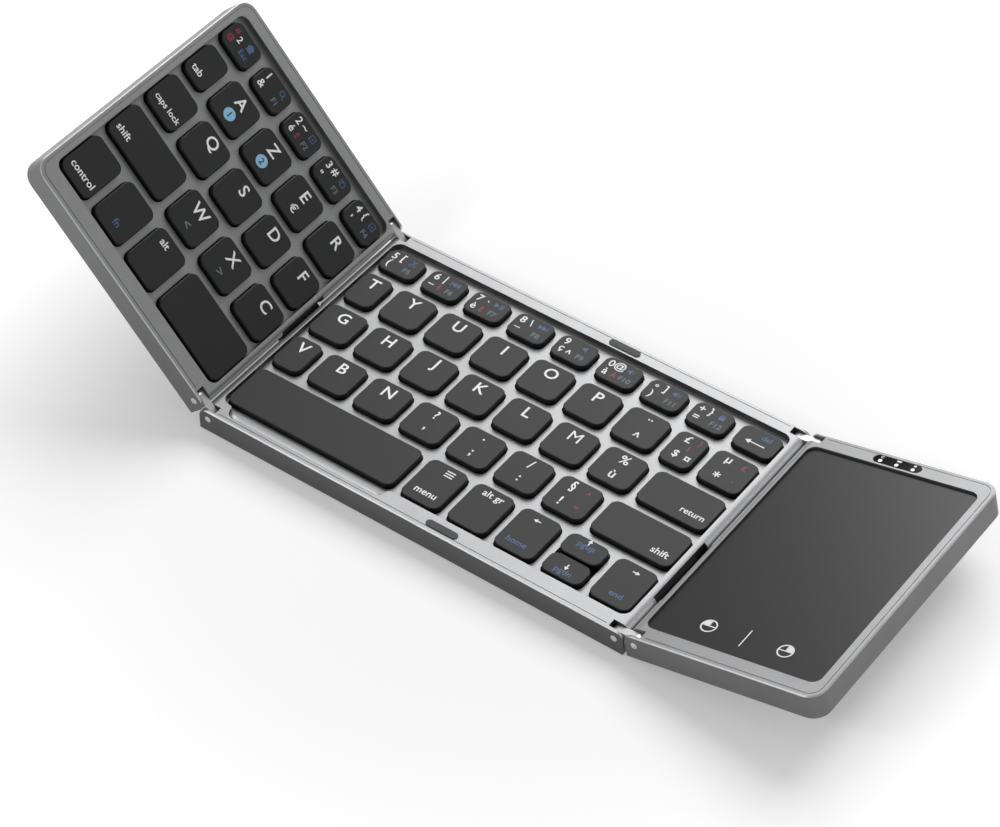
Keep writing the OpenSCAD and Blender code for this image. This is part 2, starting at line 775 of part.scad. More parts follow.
module right_frame() {
    color(metal) on_right() difference() {
        panel_block(0, right_w, 0, corner_r);
        underside_cut(0, right_w, 0, corner_r);
        translate([0, 0, touch_z]) linear_extrude(body_t)
            rounded([touch_x0, -touch_y], [touch_x1, touch_y], pocket_r, pocket_r);
        translate([0, 0, plate_top - eps]) linear_extrude(body_t)
            rounded([touch_x0 + ledge_w, -touch_y + ledge_w], [touch_x1 - ledge_w, touch_y - ledge_w],
                pocket_r - ledge_w, pocket_r - ledge_w);
        translate([bay_x[0], touch_y - 2 * ledge_w, plate_top - eps])
            cube([bay_x[1] - bay_x[0], bay_y - touch_y + 2 * ledge_w, touch_z - plate_top + eps]);
        hinge_cuts(0, 1, right_cable_y);
        seam(0, right_w, 0, corner_r);
        screw_bores(right_screw_places);
        socket_cut();
        switch_cut();
        window_cut();
        connector_cut();
    }
}

module socket_cut() {
    translate([socket_x, depth / 2 + eps, socket_z]) rotate([90, 0, 0])
        linear_extrude(depth / 2 - bay_y + 2 * eps) stadium(socket_size[0], socket_size[1]);
}

module switch_cut() {
    translate([switch_x, depth / 2 + eps, switch_z]) rotate([90, 0, 0])
        linear_extrude(depth / 2 - bay_y + 2 * eps) stadium(switch_slot[0], switch_slot[1]);
}

// Recess for the window with a well for each light under it
module window_cut() {
    translate([window_x, window_y, top_z - window_t]) linear_extrude(window_t + eps)
        stadium(window_l, window_w);
    for (i = [-1, 0, 1])
        translate([window_x + i * light_x, light_y, plate_top])
            cylinder(r = light_r + light_play, h = top_z - window_t - plate_top + eps);
}

// Room for the cable connector beside the hinge bar
module connector_cut() {
    translate([end_bar - eps, right_cable_y[0] - 1.2, plate_top - eps])
        cube([2 * ledge_w, right_cable_y[1] - right_cable_y[0] + 2.4, touch_z - plate_top]);
}

module right_bottom_plate() {
    on_right() bottom_plate(0, right_w, 0, corner_r, right_screw_places);
}

module right_leather() {
    on_right() leather(0, right_w, 0, corner_r);
}

module touch_plate() {
    color([0.13, 0.13, 0.14]) on_right() translate([0, 0, touch_z]) linear_extrude(touch_t)
        rounded([touch_x0 + touch_play, -touch_y + touch_play], [touch_x1 - touch_play, touch_y - touch_play],
            pocket_r - touch_play, pocket_r - touch_play);
}

// Board behind the battery with an arm along the hinge to the cable connector
module main_board() {
    on_right() {
        color([0.1, 0.35, 0.2]) translate([0, 0, board_z]) linear_extrude(board_t) {
            translate([bay_x[0] + board_play, board_y])
                square([bay_x[1] - bay_x[0] - 2 * board_play, bay_y - board_play - board_y]);
            translate([touch_x0 + ledge_w + 0.2, right_cable_y[0]])
                square([bay_x[0] - touch_x0 - ledge_w + 1, touch_y - 2 * ledge_w - right_cable_y[0]]);
        }
        color([0.1, 0.35, 0.2]) for (x = [bay_x[0] + 4, bay_x[1] - 4], y = [board_y + 4, touch_y - 4])
            translate([x, y, plate_top]) cylinder(r = post_r, h = board_lift + eps);
        color([0.2, 0.2, 0.2]) translate([bay_x[1] - chip_in[0] - chip[0], chip_in[1], board_top - eps])
            cube(chip);
        connector(cable_end + connector_d, 1, right_cable_y);
        switch_housing();
    }
}

// Channel on the board that carries the slider of the switch
module switch_housing() {
    color([0.3, 0.3, 0.3]) translate([switch_x - housing[0] / 2, slider_y, board_top - eps]) {
        translate([0, -0.1 - housing[1], 0])
            cube([housing[0], housing[1], switch_z + slider[2] / 2 - board_top]);
        translate([0, -0.2, 0])
            cube([housing[0], slider[1] + 0.2, switch_z - slider[2] / 2 - 0.1 - board_top + eps]);
    }
}

module battery() {
    color([0.55, 0.58, 0.6]) on_right()
        translate([bay_x[0] + battery_in[0], -touch_y + battery_in[1], plate_top])
        cube([bay_x[1] - bay_x[0] - battery_in[0], touch_y - battery_in[1] - 1, battery_h]);
}

module usb_c_socket() {
    color("silver") on_right() translate([socket_x, bay_y + 1, socket_z]) rotate([90, 0, 0]) {
        difference() {
            linear_extrude(socket_l) stadium(socket_size[0] - 0.1, socket_size[1] - 0.1);
            translate([0, 0, -eps]) linear_extrude(socket_l - 1)
                stadium(socket_size[0] - 2 * socket_wall, socket_size[1] - 2 * socket_wall);
        }
        translate([-3.3, -0.35, 0.8]) cube([6.6, 0.7, socket_l - 1]);
    }
}

// Window over the three lights
module indicator_window() {
    color([0.05, 0.05, 0.05]) on_right() translate([window_x, window_y, top_z - window_t])
        linear_extrude(window_t) stadium(window_l - 0.1, window_w - 0.1);
}

module light_guides() {
    color([0.9, 0.9, 0.9]) on_right() for (i = [-1, 0, 1])
        translate([window_x + i * light_x, light_y, board_top])
            cylinder(r = light_r, h = top_z - window_t - board_top);
}

module right_feet() {
    on_right() feet(0, right_w);
}

module right_hinge_pins() {
    on_right() hinge_pins(pin_in);
}

module right_screws() {
    on_right() screws(right_screw_places);
}

// Slider behind the wall with a knob in the slot, at the end of its travel nearer the hinge
module power_switch() {
    color([0.15, 0.15, 0.15]) on_right() translate([switch_x - switch_travel / 2, 0, switch_z]) {
        translate([-slider[0] / 2, slider_y, -slider[2] / 2]) cube(slider);
        translate([0, depth / 2 - 0.1, 0]) rotate([90, 0, 0])
            linear_extrude(depth / 2 - 0.1 - slider_y - slider[1] / 2) stadium(knob[0], knob[1]);
    }
}

module left_links() {
    on_centre() links(left_link_tilt, -1);
}

module right_links() {
    on_centre() links(-right_link_tilt, 1);
}

module left_flat_cable() {
    on_centre() cable(left_link_tilt, left_tilt, -1, left_cable_y);
}

module right_flat_cable() {
    on_centre() cable(right_link_tilt, right_tilt, 1, right_cable_y);
}

centre_frame();
centre_bottom_plate();
centre_leather();
centre_circuit_board();
centre_dome_sheet();
centre_feet();
centre_bumpers();
centre_hinge_pins();
centre_screws();
left_frame();
left_bottom_plate();
left_leather();
left_circuit_board();
left_dome_sheet();
left_feet();
left_hinge_pins();
left_screws();
right_frame();
right_bottom_plate();
right_leather();
touch_plate();
main_board();
battery();
usb_c_socket();
indicator_window();
light_guides();
right_feet();
right_hinge_pins();
right_screws();
power_switch();
left_links();
right_links();
left_flat_cable();
right_flat_cable();
left_key(0, 0);  // escape_key
for (i = [1 : 4]) left_key(0, i);  // left_digit_keys
left_key(1, 0);  // tab_key
for (i = [1 : 4]) left_key(1, i);  // left_upper_letter_keys
left_key(2, 0);  // caps_lock_key
for (i = [1 : 4]) left_key(2, i);  // left_home_letter_keys
left_key(3, 0);  // left_shift_key
for (i = [1 : 3]) left_key(3, i);  // left_lower_letter_keys
left_key(4, 0);  // control_key
left_key(4, 1);  // function_key
left_key(4, 2);  // left_alt_key
left_key(4, 3);  // left_space_key
for (i = [0 : 7]) centre_key(0, i);  // centre_digit_keys
centre_key(0, 8);  // backspace_key
for (i = [0 : 8]) centre_key(1, i);  // centre_upper_letter_keys
for (i = [0 : 6]) centre_key(2, i);  // centre_home_letter_keys
centre_key(2, 7);  // return_key
for (i = [0 : 6]) centre_key(3, i);  // centre_lower_letter_keys
centre_key(3, 7);  // right_shift_key
centre_key(4, 0);  // right_space_key
centre_key(4, 1);  // system_key
centre_key(4, 2);  // right_alt_key
centre_key(4, 3);  // left_arrow_key
half_arrow(1);  // up_arrow_key
half_arrow(-1);  // down_arrow_key
centre_key(4, 5);  // right_arrow_key
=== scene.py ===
import json
import math

import bmesh
import bpy
from bpy.props import BoolProperty, FloatProperty, FloatVectorProperty, PointerProperty
from bpy.types import Operator, Panel, PropertyGroup
from mathutils import Matrix, Vector


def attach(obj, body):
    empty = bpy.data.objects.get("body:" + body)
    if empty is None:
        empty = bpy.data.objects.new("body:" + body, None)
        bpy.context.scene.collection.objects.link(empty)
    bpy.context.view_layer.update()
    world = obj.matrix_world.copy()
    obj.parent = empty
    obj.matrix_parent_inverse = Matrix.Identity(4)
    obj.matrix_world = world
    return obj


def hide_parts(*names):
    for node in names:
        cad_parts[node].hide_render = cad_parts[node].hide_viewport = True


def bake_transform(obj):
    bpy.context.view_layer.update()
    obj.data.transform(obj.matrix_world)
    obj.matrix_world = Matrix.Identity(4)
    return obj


bl_info = {
    "name": "Folding Keyboard",
    "version": (1, 0, 0),
    "blender": (4, 5, 0),
    "location": "View3D > Sidebar > Keyboard",
    "description": "Finishes, key legends, folds, feet and a studio for a keyboard in three panels",
    "category": "Object",
}

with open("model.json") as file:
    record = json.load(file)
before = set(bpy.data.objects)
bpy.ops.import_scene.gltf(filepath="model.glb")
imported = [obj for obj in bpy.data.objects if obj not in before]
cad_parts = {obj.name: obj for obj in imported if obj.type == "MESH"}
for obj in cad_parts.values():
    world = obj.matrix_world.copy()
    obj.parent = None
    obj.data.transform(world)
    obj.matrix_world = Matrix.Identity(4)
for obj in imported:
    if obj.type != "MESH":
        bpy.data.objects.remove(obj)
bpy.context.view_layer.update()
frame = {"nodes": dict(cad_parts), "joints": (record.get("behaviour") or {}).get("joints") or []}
JOINTS = {joint["name"]: joint for joint in frame["joints"]}
MM = 0.001

# Sizes of the part in mm, in the frame of one panel: z from the table, y from the middle
CENTRE_W = 153.4
LEFT_W = 87.8
RIGHT_W = 64.6
DEPTH = 98.0
PIN_IN = 3.2
PIN_Z = 5.3
PIN_RISE = 0.12  # of a pin's head over the side face
FOOT_IN = (14.0, 8.0)  # from the ends and from the long edges of a panel to the middle of a foot
FOOT_TOP = 0.5  # where the feet meet the leather
FRONT_RIM = 6.3
RIM_TOP = 8.5
KEY_TOP = 8.35
TOUCH_TOP = 7.7
SUNK = 0.01  # how deep a print reaches into what carries it
MARK_RISE = 0.02  # how far the marks stand on the touch plate and the window
# Finger scoop in the front rim
SCOOP_IN = 8.2
SCOOP_L = 58.0
SCOOP_LIP = 2.2
SCOOP_R = 3.0
SCOOP_BLEND_R = 1.5
SCOOP_FLOOR = RIM_TOP - 2.0
# Socket and switch in the back wall of the right wing; the slider as stored is at the end of its travel
PORT_Z = 4.43
SOCKET_X = 17.0
CONTACT_Y = 44.6
SLIDER_X = 46.3
# Lights under the window of the right wing, and the signs behind them
LIGHT_X = 31.7
LIGHT_Y = 45.2
LIGHT_PITCH = 5.5
LIGHT_SIGN_Y = 46.9
# Flat cables: tilt of the links as stored, edges in y, and height from the pins. A cable starts in a connector
# 4.7 mm inside the end face and bends 1.6 mm inside it; the two pins of a fold leave a gap of 0.5 mm.
LINK_TILT = {"left": math.radians(43.8), "right": math.radians(11.8)}
CABLE_Y = {"left": (-10.5, 9.0), "right": (-31.495, -6.195)}
CABLE_DROP = -2.2
CABLE_BEND_X = PIN_IN - 1.6
CABLE_END_X = PIN_IN - 4.7
PIVOT_SPAN = 2 * PIN_IN + 0.5
MIDDLE_X = JOINTS["right_fold_inner"]["pos_m"][0] / MM - (CENTRE_W / 2 - PIN_IN)

WHITE = (1.0, 1.0, 1.0, 1.0)
# The fitted camera: its focal length and the width of the photo in pixels
FOCAL_PX = 3327.5
PHOTO_W_PX = 1000


# Sizes and colours that a user would change


def length(name, about, size):
    return FloatProperty(name=name, description=about, default=size * MM, unit="LENGTH")


def angle(name, about, degrees):
    return FloatProperty(name=name, description=about, default=math.radians(degrees), subtype="ANGLE")


def tint(name, about, colour):
    return FloatVectorProperty(name=name, description=about, default=colour, subtype="COLOR", size=3)


def power(name, about, watts):
    return FloatProperty(name=name, description=about, default=watts, unit="POWER")


class KeyboardSizes(PropertyGroup):
    left_tilt: angle("Left tilt", "Tilt of the left wing as stored", 47.9)
    right_tilt: angle("Right tilt", "Tilt of the right wing as stored", 13.6)
    print_height: length("Print height", "How far the legends stand on a key", 0.03)
    letter_height: length("Letter height", "Height of a capital on a letter key", 4.1)
    word_height: length("Word height", "Height of the capitals of the words", 2.4)
    digit_height: length("Digit height", "Height of the signs on the digit keys", 2.7)
    foot_length: length("Foot length", "Length of a foot", 12.5)
    foot_width: length("Foot width", "Width of a foot", 2.5)
    foot_height: length("Foot height", "Height of a foot", 0.5)
    pin_head: length("Pin head", "Radius of a pin's head", 1.05)
    scoop_fillet: length("Scoop fillet", "Height of the fillet at the foot of the finger scoop", 1.8)
    ribbon_thickness: length("Ribbon thickness", "Thickness of the flat cables", 0.3)


class KeyboardColours(PropertyGroup):
    metal: tint("Aluminium", "Casing", (0.345, 0.347, 0.353))
    keycap: tint("Key caps", "Tops of the keys", (0.02, 0.0205, 0.021))
    leather: tint("Leather", "Covers under the panels", (0.1, 0.107, 0.107))
    touch: tint("Touch plate", "Satin glass", (0.012, 0.0125, 0.013))
    legend: tint("Legends", "Print on the keys", (0.93, 0.93, 0.93))
    second_legend: tint("Second legends", "Print for the function layer", (0.06, 0.12, 0.27))
    third_legend: tint("Third legends", "Print for the third layer", (0.3, 0.02, 0.04))


class StageSettings(PropertyGroup):
    key_light: power("Key light", "Lamp behind on the left", 21.0)
    sheen_light: power("Sheen light", "Lamp seen in the touch plate", 3.0)
    edge_light: power("Edge light", "Lamp seen in the front edges", 4.0)
    sky: FloatProperty(name="Sky", description="Level of the light from all sides", default=0.3)
    floor_glow: FloatProperty(name="Floor glow", description="White that the far floor shows", default=0.5)
    show_floor: BoolProperty(name="Floor", description="Put a pale floor under the keyboard", default=True)


def sizes():
    return bpy.context.scene.keyboard_sizes


def colours():
    return bpy.context.scene.keyboard_colours


# Places: the three panels in the frame of the part


def panel_matrix(panel):
    """Takes a point in mm in a panel's own frame to metres in the frame of the part."""
    if panel == "centre":
        return Matrix.Translation((MIDDLE_X * MM, 0, 0)) @ Matrix.Scale(MM, 4)
    tilt, pin_x = (sizes().left_tilt, PIN_IN) if panel == "left" else (-sizes().right_tilt, -PIN_IN)
    return (
        Matrix.Translation(JOINTS[f"{panel}_fold_outer"]["pos_m"])
        @ Matrix.Rotation(tilt, 4, "Y")
        @ Matrix.Translation((pin_x * MM, 0, -PIN_Z * MM))
        @ Matrix.Scale(MM, 4)
    )


def panel_up(panel):
    return (panel_matrix(panel).to_3x3() @ Vector((0, 0, 1))).normalized()


def panel_body(panel):
    return "centre_panel" if panel == "centre" else f"{panel}_wing"


# Node helpers


def add_node(tree, kind, inputs=None, **settings):
    """A new node with its settings made, and each input set to a value or linked to an output."""
    node = tree.nodes.new(kind)
    for name, value in settings.items():
        setattr(node, name, value)
    for key, value in (inputs or {}).items():
        if isinstance(value, bpy.types.NodeSocket):
            tree.links.new(value, node.inputs[key])
        else:
            node.inputs[key].default_value = value
    return node


def object_coordinates(tree, scale=(1, 1, 1)):
    coordinates = tree.nodes.new("ShaderNodeTexCoord")
    inputs = {"Vector": coordinates.outputs["Object"], "Scale": scale}
    return add_node(tree, "ShaderNodeMapping", inputs).outputs["Vector"]


def noise(tree, at, scale, detail=3.0, roughness=0.5):
    inputs = {"Vector": at, "Scale": scale, "Detail": detail, "Roughness": roughness}
    return add_node(tree, "ShaderNodeTexNoise", inputs).outputs["Fac"]


def maths(tree, operation, a, b=0.0):
    return add_node(tree, "ShaderNodeMath", {0: a, 1: b}, operation=operation).outputs[0]


def ramp(tree, value, low, high, colour_low, colour_high):
    """Colour that goes from one to the other as value goes from low to high."""
    node = add_node(tree, "ShaderNodeValToRGB", {"Fac": value})
    for stop, place, colour in zip(node.color_ramp.elements, (low, high), (colour_low, colour_high)):
        stop.position = place
        stop.color = (*colour, 1.0)
    return node.outputs["Color"]


def mapped(tree, value, start, end, low, high, **settings):
    """Number that goes from low to high as value goes from start to end."""
    inputs = {"Value": value, "From Min": start, "From Max": end, "To Min": low, "To Max": high}
    return add_node(tree, "ShaderNodeMapRange", inputs, **settings).outputs["Result"]


def spread(tree, value, low, high):
    """Number from low to high over the span of a noise."""
    return mapped(tree, value, 0.3, 0.7, low, high)


def multiplied(tree, a, b):
    """Product of two colours; sockets 6 and 7 take the colours, and output 2 gives the product."""
    inputs = {"Factor": 1.0, 6: a, 7: b}
    return add_node(tree, "ShaderNodeMix", inputs, data_type="RGBA", blend_type="MULTIPLY").outputs[2]


def facing(tree, direction):
    """1 where the surface faces direction, 0 where it is side-on, in the piece's own frame."""
    normal = tree.nodes.new("ShaderNodeTexCoord").outputs["Normal"]
    dot = add_node(tree, "ShaderNodeVectorMath", {0: normal, 1: direction}, operation="DOT_PRODUCT")
    return maths(tree, "MAXIMUM", dot.outputs["Value"], 0.0)


def grey(level):
    return (level, level, level)


def shade(colour, factor):
    return tuple(min(channel * factor, 1.0) for channel in colour)


# Finishes


def new_finish(name):
    """An empty finish: (material, node tree)."""
    material = bpy.data.materials.new(name)
    material.use_nodes = True
    return material, material.node_tree


def set_shader(tree, **values):
    shader = tree.nodes["Principled BSDF"]
    for name, value in values.items():
        shader.inputs[name.replace("_", " ")].default_value = value


def coated(material, colour, roughness, relief=None, depth=0.0, strength=1.0, **values):
    """Completes a finish: its colour and roughness, a relief of this depth in metres, and plain values."""
    tree = material.node_tree
    shader = tree.nodes["Principled BSDF"]
    tree.links.new(colour, shader.inputs["Base Color"])
    tree.links.new(roughness, shader.inputs["Roughness"])
    set_shader(tree, **values)
    if relief is not None:
        inputs = {"Strength": strength, "Distance": depth, "Height": relief}
        tree.links.new(add_node(tree, "ShaderNodeBump", inputs).outputs["Normal"], shader.inputs["Normal"])
    return material


def blasted_metal(name, panel="centre", tone=1.0, side=0.3, steep=0.6, chamfer=1.8, roughness=(0.34, 0.44)):
    """Dyed and blasted aluminium: a fine grain, faint clouds, painted shade on the sides, and a bright band on
    faces that turn a little off the top, partly the cut chamfers' own brightness and partly a painted
    highlight.
    """
    material, tree = new_finish(name)
    colour = shade(colours().metal, tone)
    at = object_coordinates(tree)
    cloud = noise(tree, at, 90.0, 4.0)
    grain = noise(tree, at, 2900.0, 3.0, 0.7)
    up = facing(tree, panel_up(panel))
    # Painted highlight, partly the cut chamfers' own brightness: faces that turn a little off the top, such as
    # the chamfers and the rounded hinge ends, are made brighter.
    cut = ramp(tree, up, 0.8, 0.92, shade(colour, chamfer), colour)
    # Painted shade: faces that turn away from the panel's up are darkened, down to side times the colour on the
    # walls.
    top = multiplied(tree, cut, ramp(tree, up, 0.1, steep, grey(side), grey(1.0)))
    mottle = maths(tree, "ADD", maths(tree, "MULTIPLY", cloud, 0.3), maths(tree, "MULTIPLY", grain, 0.7))
    mixed = multiplied(tree, top, ramp(tree, mottle, 0.36, 0.64, grey(0.82), grey(1.0)))
    return coated(material, mixed, spread(tree, grain, *roughness), grain, 0.006 * MM, Metallic=0.5)


def turned_steel(name):
    """Bright steel with fine lines along the bars."""
    material, tree = new_finish(name)
    lines = noise(tree, object_coordinates(tree, (1.0, 14.0, 1.0)), 900.0, 3.0)
    colour = ramp(tree, lines, 0.3, 0.7, grey(0.62), grey(0.72))
    return coated(material, colour, spread(tree, lines, 0.26, 0.36), lines, 0.001 * MM, Metallic=0.7)


def key_plastic(name, panel):
    """Matt plastic with a fine spark texture; painted shade makes the sides of the caps darker than their tops.
    """
    material, tree = new_finish(name)
    colour = colours().keycap
    at = object_coordinates(tree)
    grain = noise(tree, at, 3600.0, 3.0, 0.6)
    worn = noise(tree, at, 110.0, 3.0)
    # Painted shade: the sides of the caps, which face away from the panel's up, are darkened to a quarter of
    # the colour.
    top = ramp(tree, facing(tree, panel_up(panel)), 0.35, 0.8, shade(colour, 0.25), colour)
    mixed = multiplied(tree, top, ramp(tree, worn, 0.3, 0.7, grey(0.93), grey(1.0)))
    roughness = spread(tree, grain, 0.4, 0.5)
    return coated(material, mixed, roughness, grain, 0.01 * MM, Specular_IOR_Level=0.25)


def pebbled_leather(name):
    """Dark leather: pebbles a millimetre across, with painted highlights on their crowns and painted shade in
    the creases between them.
    """
    material, tree = new_finish(name)
    colour = colours().leather
    at = object_coordinates(tree)
    wander = add_node(tree, "ShaderNodeTexNoise", {"Vector": at, "Scale": 600.0}).outputs["Color"]
    inputs = {0: wander, 1: (0.0014, 0.0014, 0.0014), 2: at}
    bent = add_node(tree, "ShaderNodeVectorMath", inputs, operation="MULTIPLY_ADD").outputs["Vector"]
    inputs = {"Vector": bent, "Scale": 1000.0, "Smoothness": 0.35}
    cells = add_node(tree, "ShaderNodeTexVoronoi", inputs, feature="SMOOTH_F1")
    creases = noise(tree, bent, 1500.0, 4.0, 0.65)
    height = maths(tree, "SUBTRACT", creases, maths(tree, "MULTIPLY", cells.outputs["Distance"], 0.55))
    # Painted highlight and painted shade: the crowns of the pebbles are made lighter and the creases darker,
    # after the relief.
    mixed = ramp(tree, height, 0.08, 0.46, shade(colour, 0.3), shade(colour, 1.95))
    return coated(material, mixed, spread(tree, creases, 0.6, 0.42), height, 0.35 * MM, 0.8)


def moulded(name, colour, roughness, grain_size, depth, **values):
    """Moulded rubber, silicone, plastic or foil with a grain of its own; grain and depth in mm."""
    material, tree = new_finish(name)
    grain = noise(tree, object_coordinates(tree), 1.0 / (grain_size * MM), 3.0, 0.6)
    mixed = ramp(tree, grain, 0.3, 0.7, shade(colour, 0.88), shade(colour, 1.08))
    rough = spread(tree, grain, roughness - 0.06, roughness + 0.06)
    return coated(material, mixed, rough, grain, depth * MM, **values)


def touch_glass(name):
    """Satin etched glass: dark, with a soft broad sheen."""
    material, tree = new_finish(name)
    colour = colours().touch
    at = object_coordinates(tree)
    etch = noise(tree, at, 6500.0, 2.0)
    mixed = ramp(tree, noise(tree, at, 25.0), 0.3, 0.7, shade(colour, 0.97), shade(colour, 1.03))
    return coated(material, mixed, spread(tree, etch, 0.28, 0.32), etch, 0.002 * MM, Specular_IOR_Level=0.35)


def window(name):
    """Gloss black window with a faint orange peel."""
    material, tree = new_finish(name)
    peel = noise(tree, object_coordinates(tree), 700.0, 2.0)
    colour = ramp(tree, peel, 0.3, 0.7, grey(0.003), grey(0.005))
    return coated(material, colour, spread(tree, peel, 0.06, 0.1), peel, 0.002 * MM, Specular_IOR_Level=0.15)


def circuit_board(name):
    """Green board whose copper tracks run square under the lacquer."""
    material, tree = new_finish(name)
    inputs = {"Vector": object_coordinates(tree), "Scale": 260.0}
    cells = add_node(tree, "ShaderNodeTexVoronoi", inputs, distance="MANHATTAN", feature="F1")
    track = maths(tree, "PINGPONG", maths(tree, "MULTIPLY", cells.outputs["Distance"], 4.0), 1.0)
    colour = ramp(tree, track, 0.42, 0.5, (0.008, 0.06, 0.028), (0.02, 0.13, 0.05))
    return coated(material, colour, spread(tree, track, 0.3, 0.42), track, 0.02 * MM)


def cable_film(name):
    """Dark film with conductors that run across the fold, side by side."""
    material, tree = new_finish(name)
    at = tree.nodes.new("ShaderNodeTexCoord").outputs["Object"]
    across = add_node(tree, "ShaderNodeSeparateXYZ", {"Vector": at}).outputs["Y"]
    stripe = maths(tree, "PINGPONG", maths(tree, "MULTIPLY", across, 1.0 / (0.45 * MM)), 1.0)
    colour = ramp(tree, stripe, 0.35, 0.6, grey(0.004), (0.012, 0.01, 0.008))
    return coated(material, colour, spread(tree, stripe, 0.26, 0.38), stripe, 0.02 * MM)


def printed(name, colour):
    """Ink with a slightly uneven coat."""
    material, tree = new_finish(name)
    coat = noise(tree, object_coordinates(tree), 1800.0, 3.0)
    mixed = ramp(tree, coat, 0.3, 0.7, shade(colour, 0.9), colour)
    return coated(material, mixed, spread(tree, coat, 0.45, 0.6))


def lamp_dot(name):
    """White light under the window."""
    material = printed(name, grey(0.9))
    set_shader(material.node_tree, Emission_Color=WHITE, Emission_Strength=0.35)
    return material


FINISHES = {
    # The aluminium comes in one copy per panel, so that its painted shade and painted highlight follow that
    # panel's up; the centre's sides get deeper painted shade.
    "aluminium_centre": lambda name: blasted_metal(name, side=0.19),
    # The scoop fillet gets painted shade that deepens from its flat floor up its curve, and no painted
    # highlight.
    "aluminium_scoop": lambda name: blasted_metal(name, side=0.2, steep=0.98, chamfer=1.0),
    "aluminium_left": lambda name: blasted_metal(name, "left"),
    "aluminium_right": lambda name: blasted_metal(name, "right"),
    "cover_plate": lambda name: blasted_metal(name, tone=0.8, roughness=(0.3, 0.4)),
    "turned_steel": turned_steel,
    # One copy per panel, so that the painted shade on the sides of the caps follows each panel's up.
    "keycap_centre": lambda name: key_plastic(name, "centre"),
    "keycap_left": lambda name: key_plastic(name, "left"),
    "pebbled_leather": pebbled_leather,
    "rubber": lambda name: moulded(name, grey(0.012), 0.72, 0.35, 0.02),
    "bumper": lambda name: moulded(name, (0.05, 0.051, 0.052), 0.62, 0.3, 0.01),
    "silicone": lambda name: moulded(name, (0.5, 0.5, 0.48), 0.45, 0.8, 0.01, Subsurface_Weight=0.2),
    "switch_plastic": lambda name: moulded(name, (0.02, 0.02, 0.021), 0.4, 0.25, 0.006),
    "light_guide": lambda name: moulded(name, (0.75, 0.77, 0.8), 0.2, 1.5, 0.004, Transmission_Weight=0.4),
    "battery_foil": lambda name: moulded(name, (0.42, 0.43, 0.44), 0.32, 6.0, 0.25, Metallic=0.8),
    "touch_glass": touch_glass,
    "window": window,
    "circuit_board": circuit_board,
    "cable_film": cable_film,
    "white_ink": lambda name: printed(name, colours().legend),
    "blue_ink": lambda name: printed(name, colours().second_legend),
    "red_ink": lambda name: printed(name, colours().third_legend),
    "grey_ink": lambda name: printed(name, (0.14, 0.17, 0.22)),
    "pale_blue_ink": lambda name: printed(name, (0.28, 0.55, 0.78)),
    "lamp_dot": lamp_dot,
}
MADE = {}


def finish(name):
    """The finish of this name, made the first time it is asked for."""
    if name not in MADE:
        MADE[name] = FINISHES[name](name)
    return MADE[name]


def dress(nodes, name):
    for node in nodes:
        data = frame["nodes"][node].data
        data.materials.clear()
        data.materials.append(finish(name))


# Pieces and meshes


def new_object(name, data):
    made = bpy.data.objects.new(name, data)
    bpy.context.scene.collection.objects.link(made)
    return made


def add_piece(name, mesh, body, paint):
    """A new piece with a finish, riding on a body."""
    piece = new_object(name, mesh)
    mesh.materials.clear()
    mesh.materials.append(finish(paint))
    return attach(piece, body)


def closed_mesh(name, built):
    """The mesh of what was built, with its normals outward."""
    bmesh.ops.recalc_face_normals(built, faces=built.faces)
    mesh = bpy.data.meshes.new(name)
    built.to_mesh(mesh)
    built.free()
    return mesh


def strip(built, a, b):
    """Joins two rings of vertices of equal number with faces."""
    for i in range(len(a)):
        j = (i + 1) % len(a)
        built.faces.new((a[i], a[j], b[j], b[i]))


def swept_mesh(name, rings):
    """A closed mesh through rings of points."""
    built = bmesh.new()
    rings = [[built.verts.new(point) for point in points] for points in rings]
    for a, b in zip(rings, rings[1:]):
        strip(built, a, b)
    built.faces.new(rings[0])
    built.faces.new(list(reversed(rings[-1])))
    return closed_mesh(name, built)


def slab(built, loops, z0, z1):
    """Adds a flat solid from z0 to z1; loops is one outline, or an outer and an inner one of equal length."""
    lows, highs = ([[built.verts.new((x, y, z)) for x, y in loop] for loop in loops] for z in (z0, z1))
    for low, high in zip(lows, highs):
        strip(built, low, high)
    if len(loops) == 1:
        built.faces.new(list(reversed(lows[0])))
        built.faces.new(highs[0])
    else:
        strip(built, *lows)
        strip(built, *highs)


def flat_shapes(name, shapes, panel, body, paint, z0, z1):
    """One piece made of flat shapes in mm in a panel's frame, from z0 to z1."""
    built = bmesh.new()
    for loops in shapes:
        slab(built, loops, z0, z1)
    mesh = closed_mesh(name, built)
    mesh.transform(panel_matrix(panel))
    return add_piece(name, mesh, body, paint)


def arc_points(x, y, r, angles):
    return [(x + r * math.cos(a), y + r * math.sin(a)) for a in angles]


def circle(x, y, r, count=28):
    return arc_points(x, y, r, [2 * math.pi * i / count for i in range(count)])


def disc(x, y, r):
    return [circle(x, y, r)]


def ring(x, y, r, w):
    return [circle(x, y, r), circle(x, y, r - w)]


def outline(*points):
    return [list(points)]


def box(x, y, w, h):
    w, h = w / 2, h / 2
    return outline((x - w, y - h), (x + w, y - h), (x + w, y + h), (x - w, y + h))


def bar(x0, y0, x1, y1, w):
    """A straight stroke from one point to another."""
    reach = math.hypot(x1 - x0, y1 - y0)
    nx, ny = -(y1 - y0) / reach * w / 2, (x1 - x0) / reach * w / 2
    return outline((x0 - nx, y0 - ny), (x1 - nx, y1 - ny), (x1 + nx, y1 + ny), (x0 + nx, y0 + ny))


def arc(x, y, r, w, start, end, count=10):
    """Part of a ring, from one angle to another in degrees."""
    angles = [math.radians(start + (end - start) * i / count) for i in range(count + 1)]
    return [arc_points(x, y, r, angles) + arc_points(x, y, r - w, angles[::-1])]


# Lettering

LETTER_THICKNESS = 0.04
CAPITAL = 0.69  # height of a capital in a font of size 1


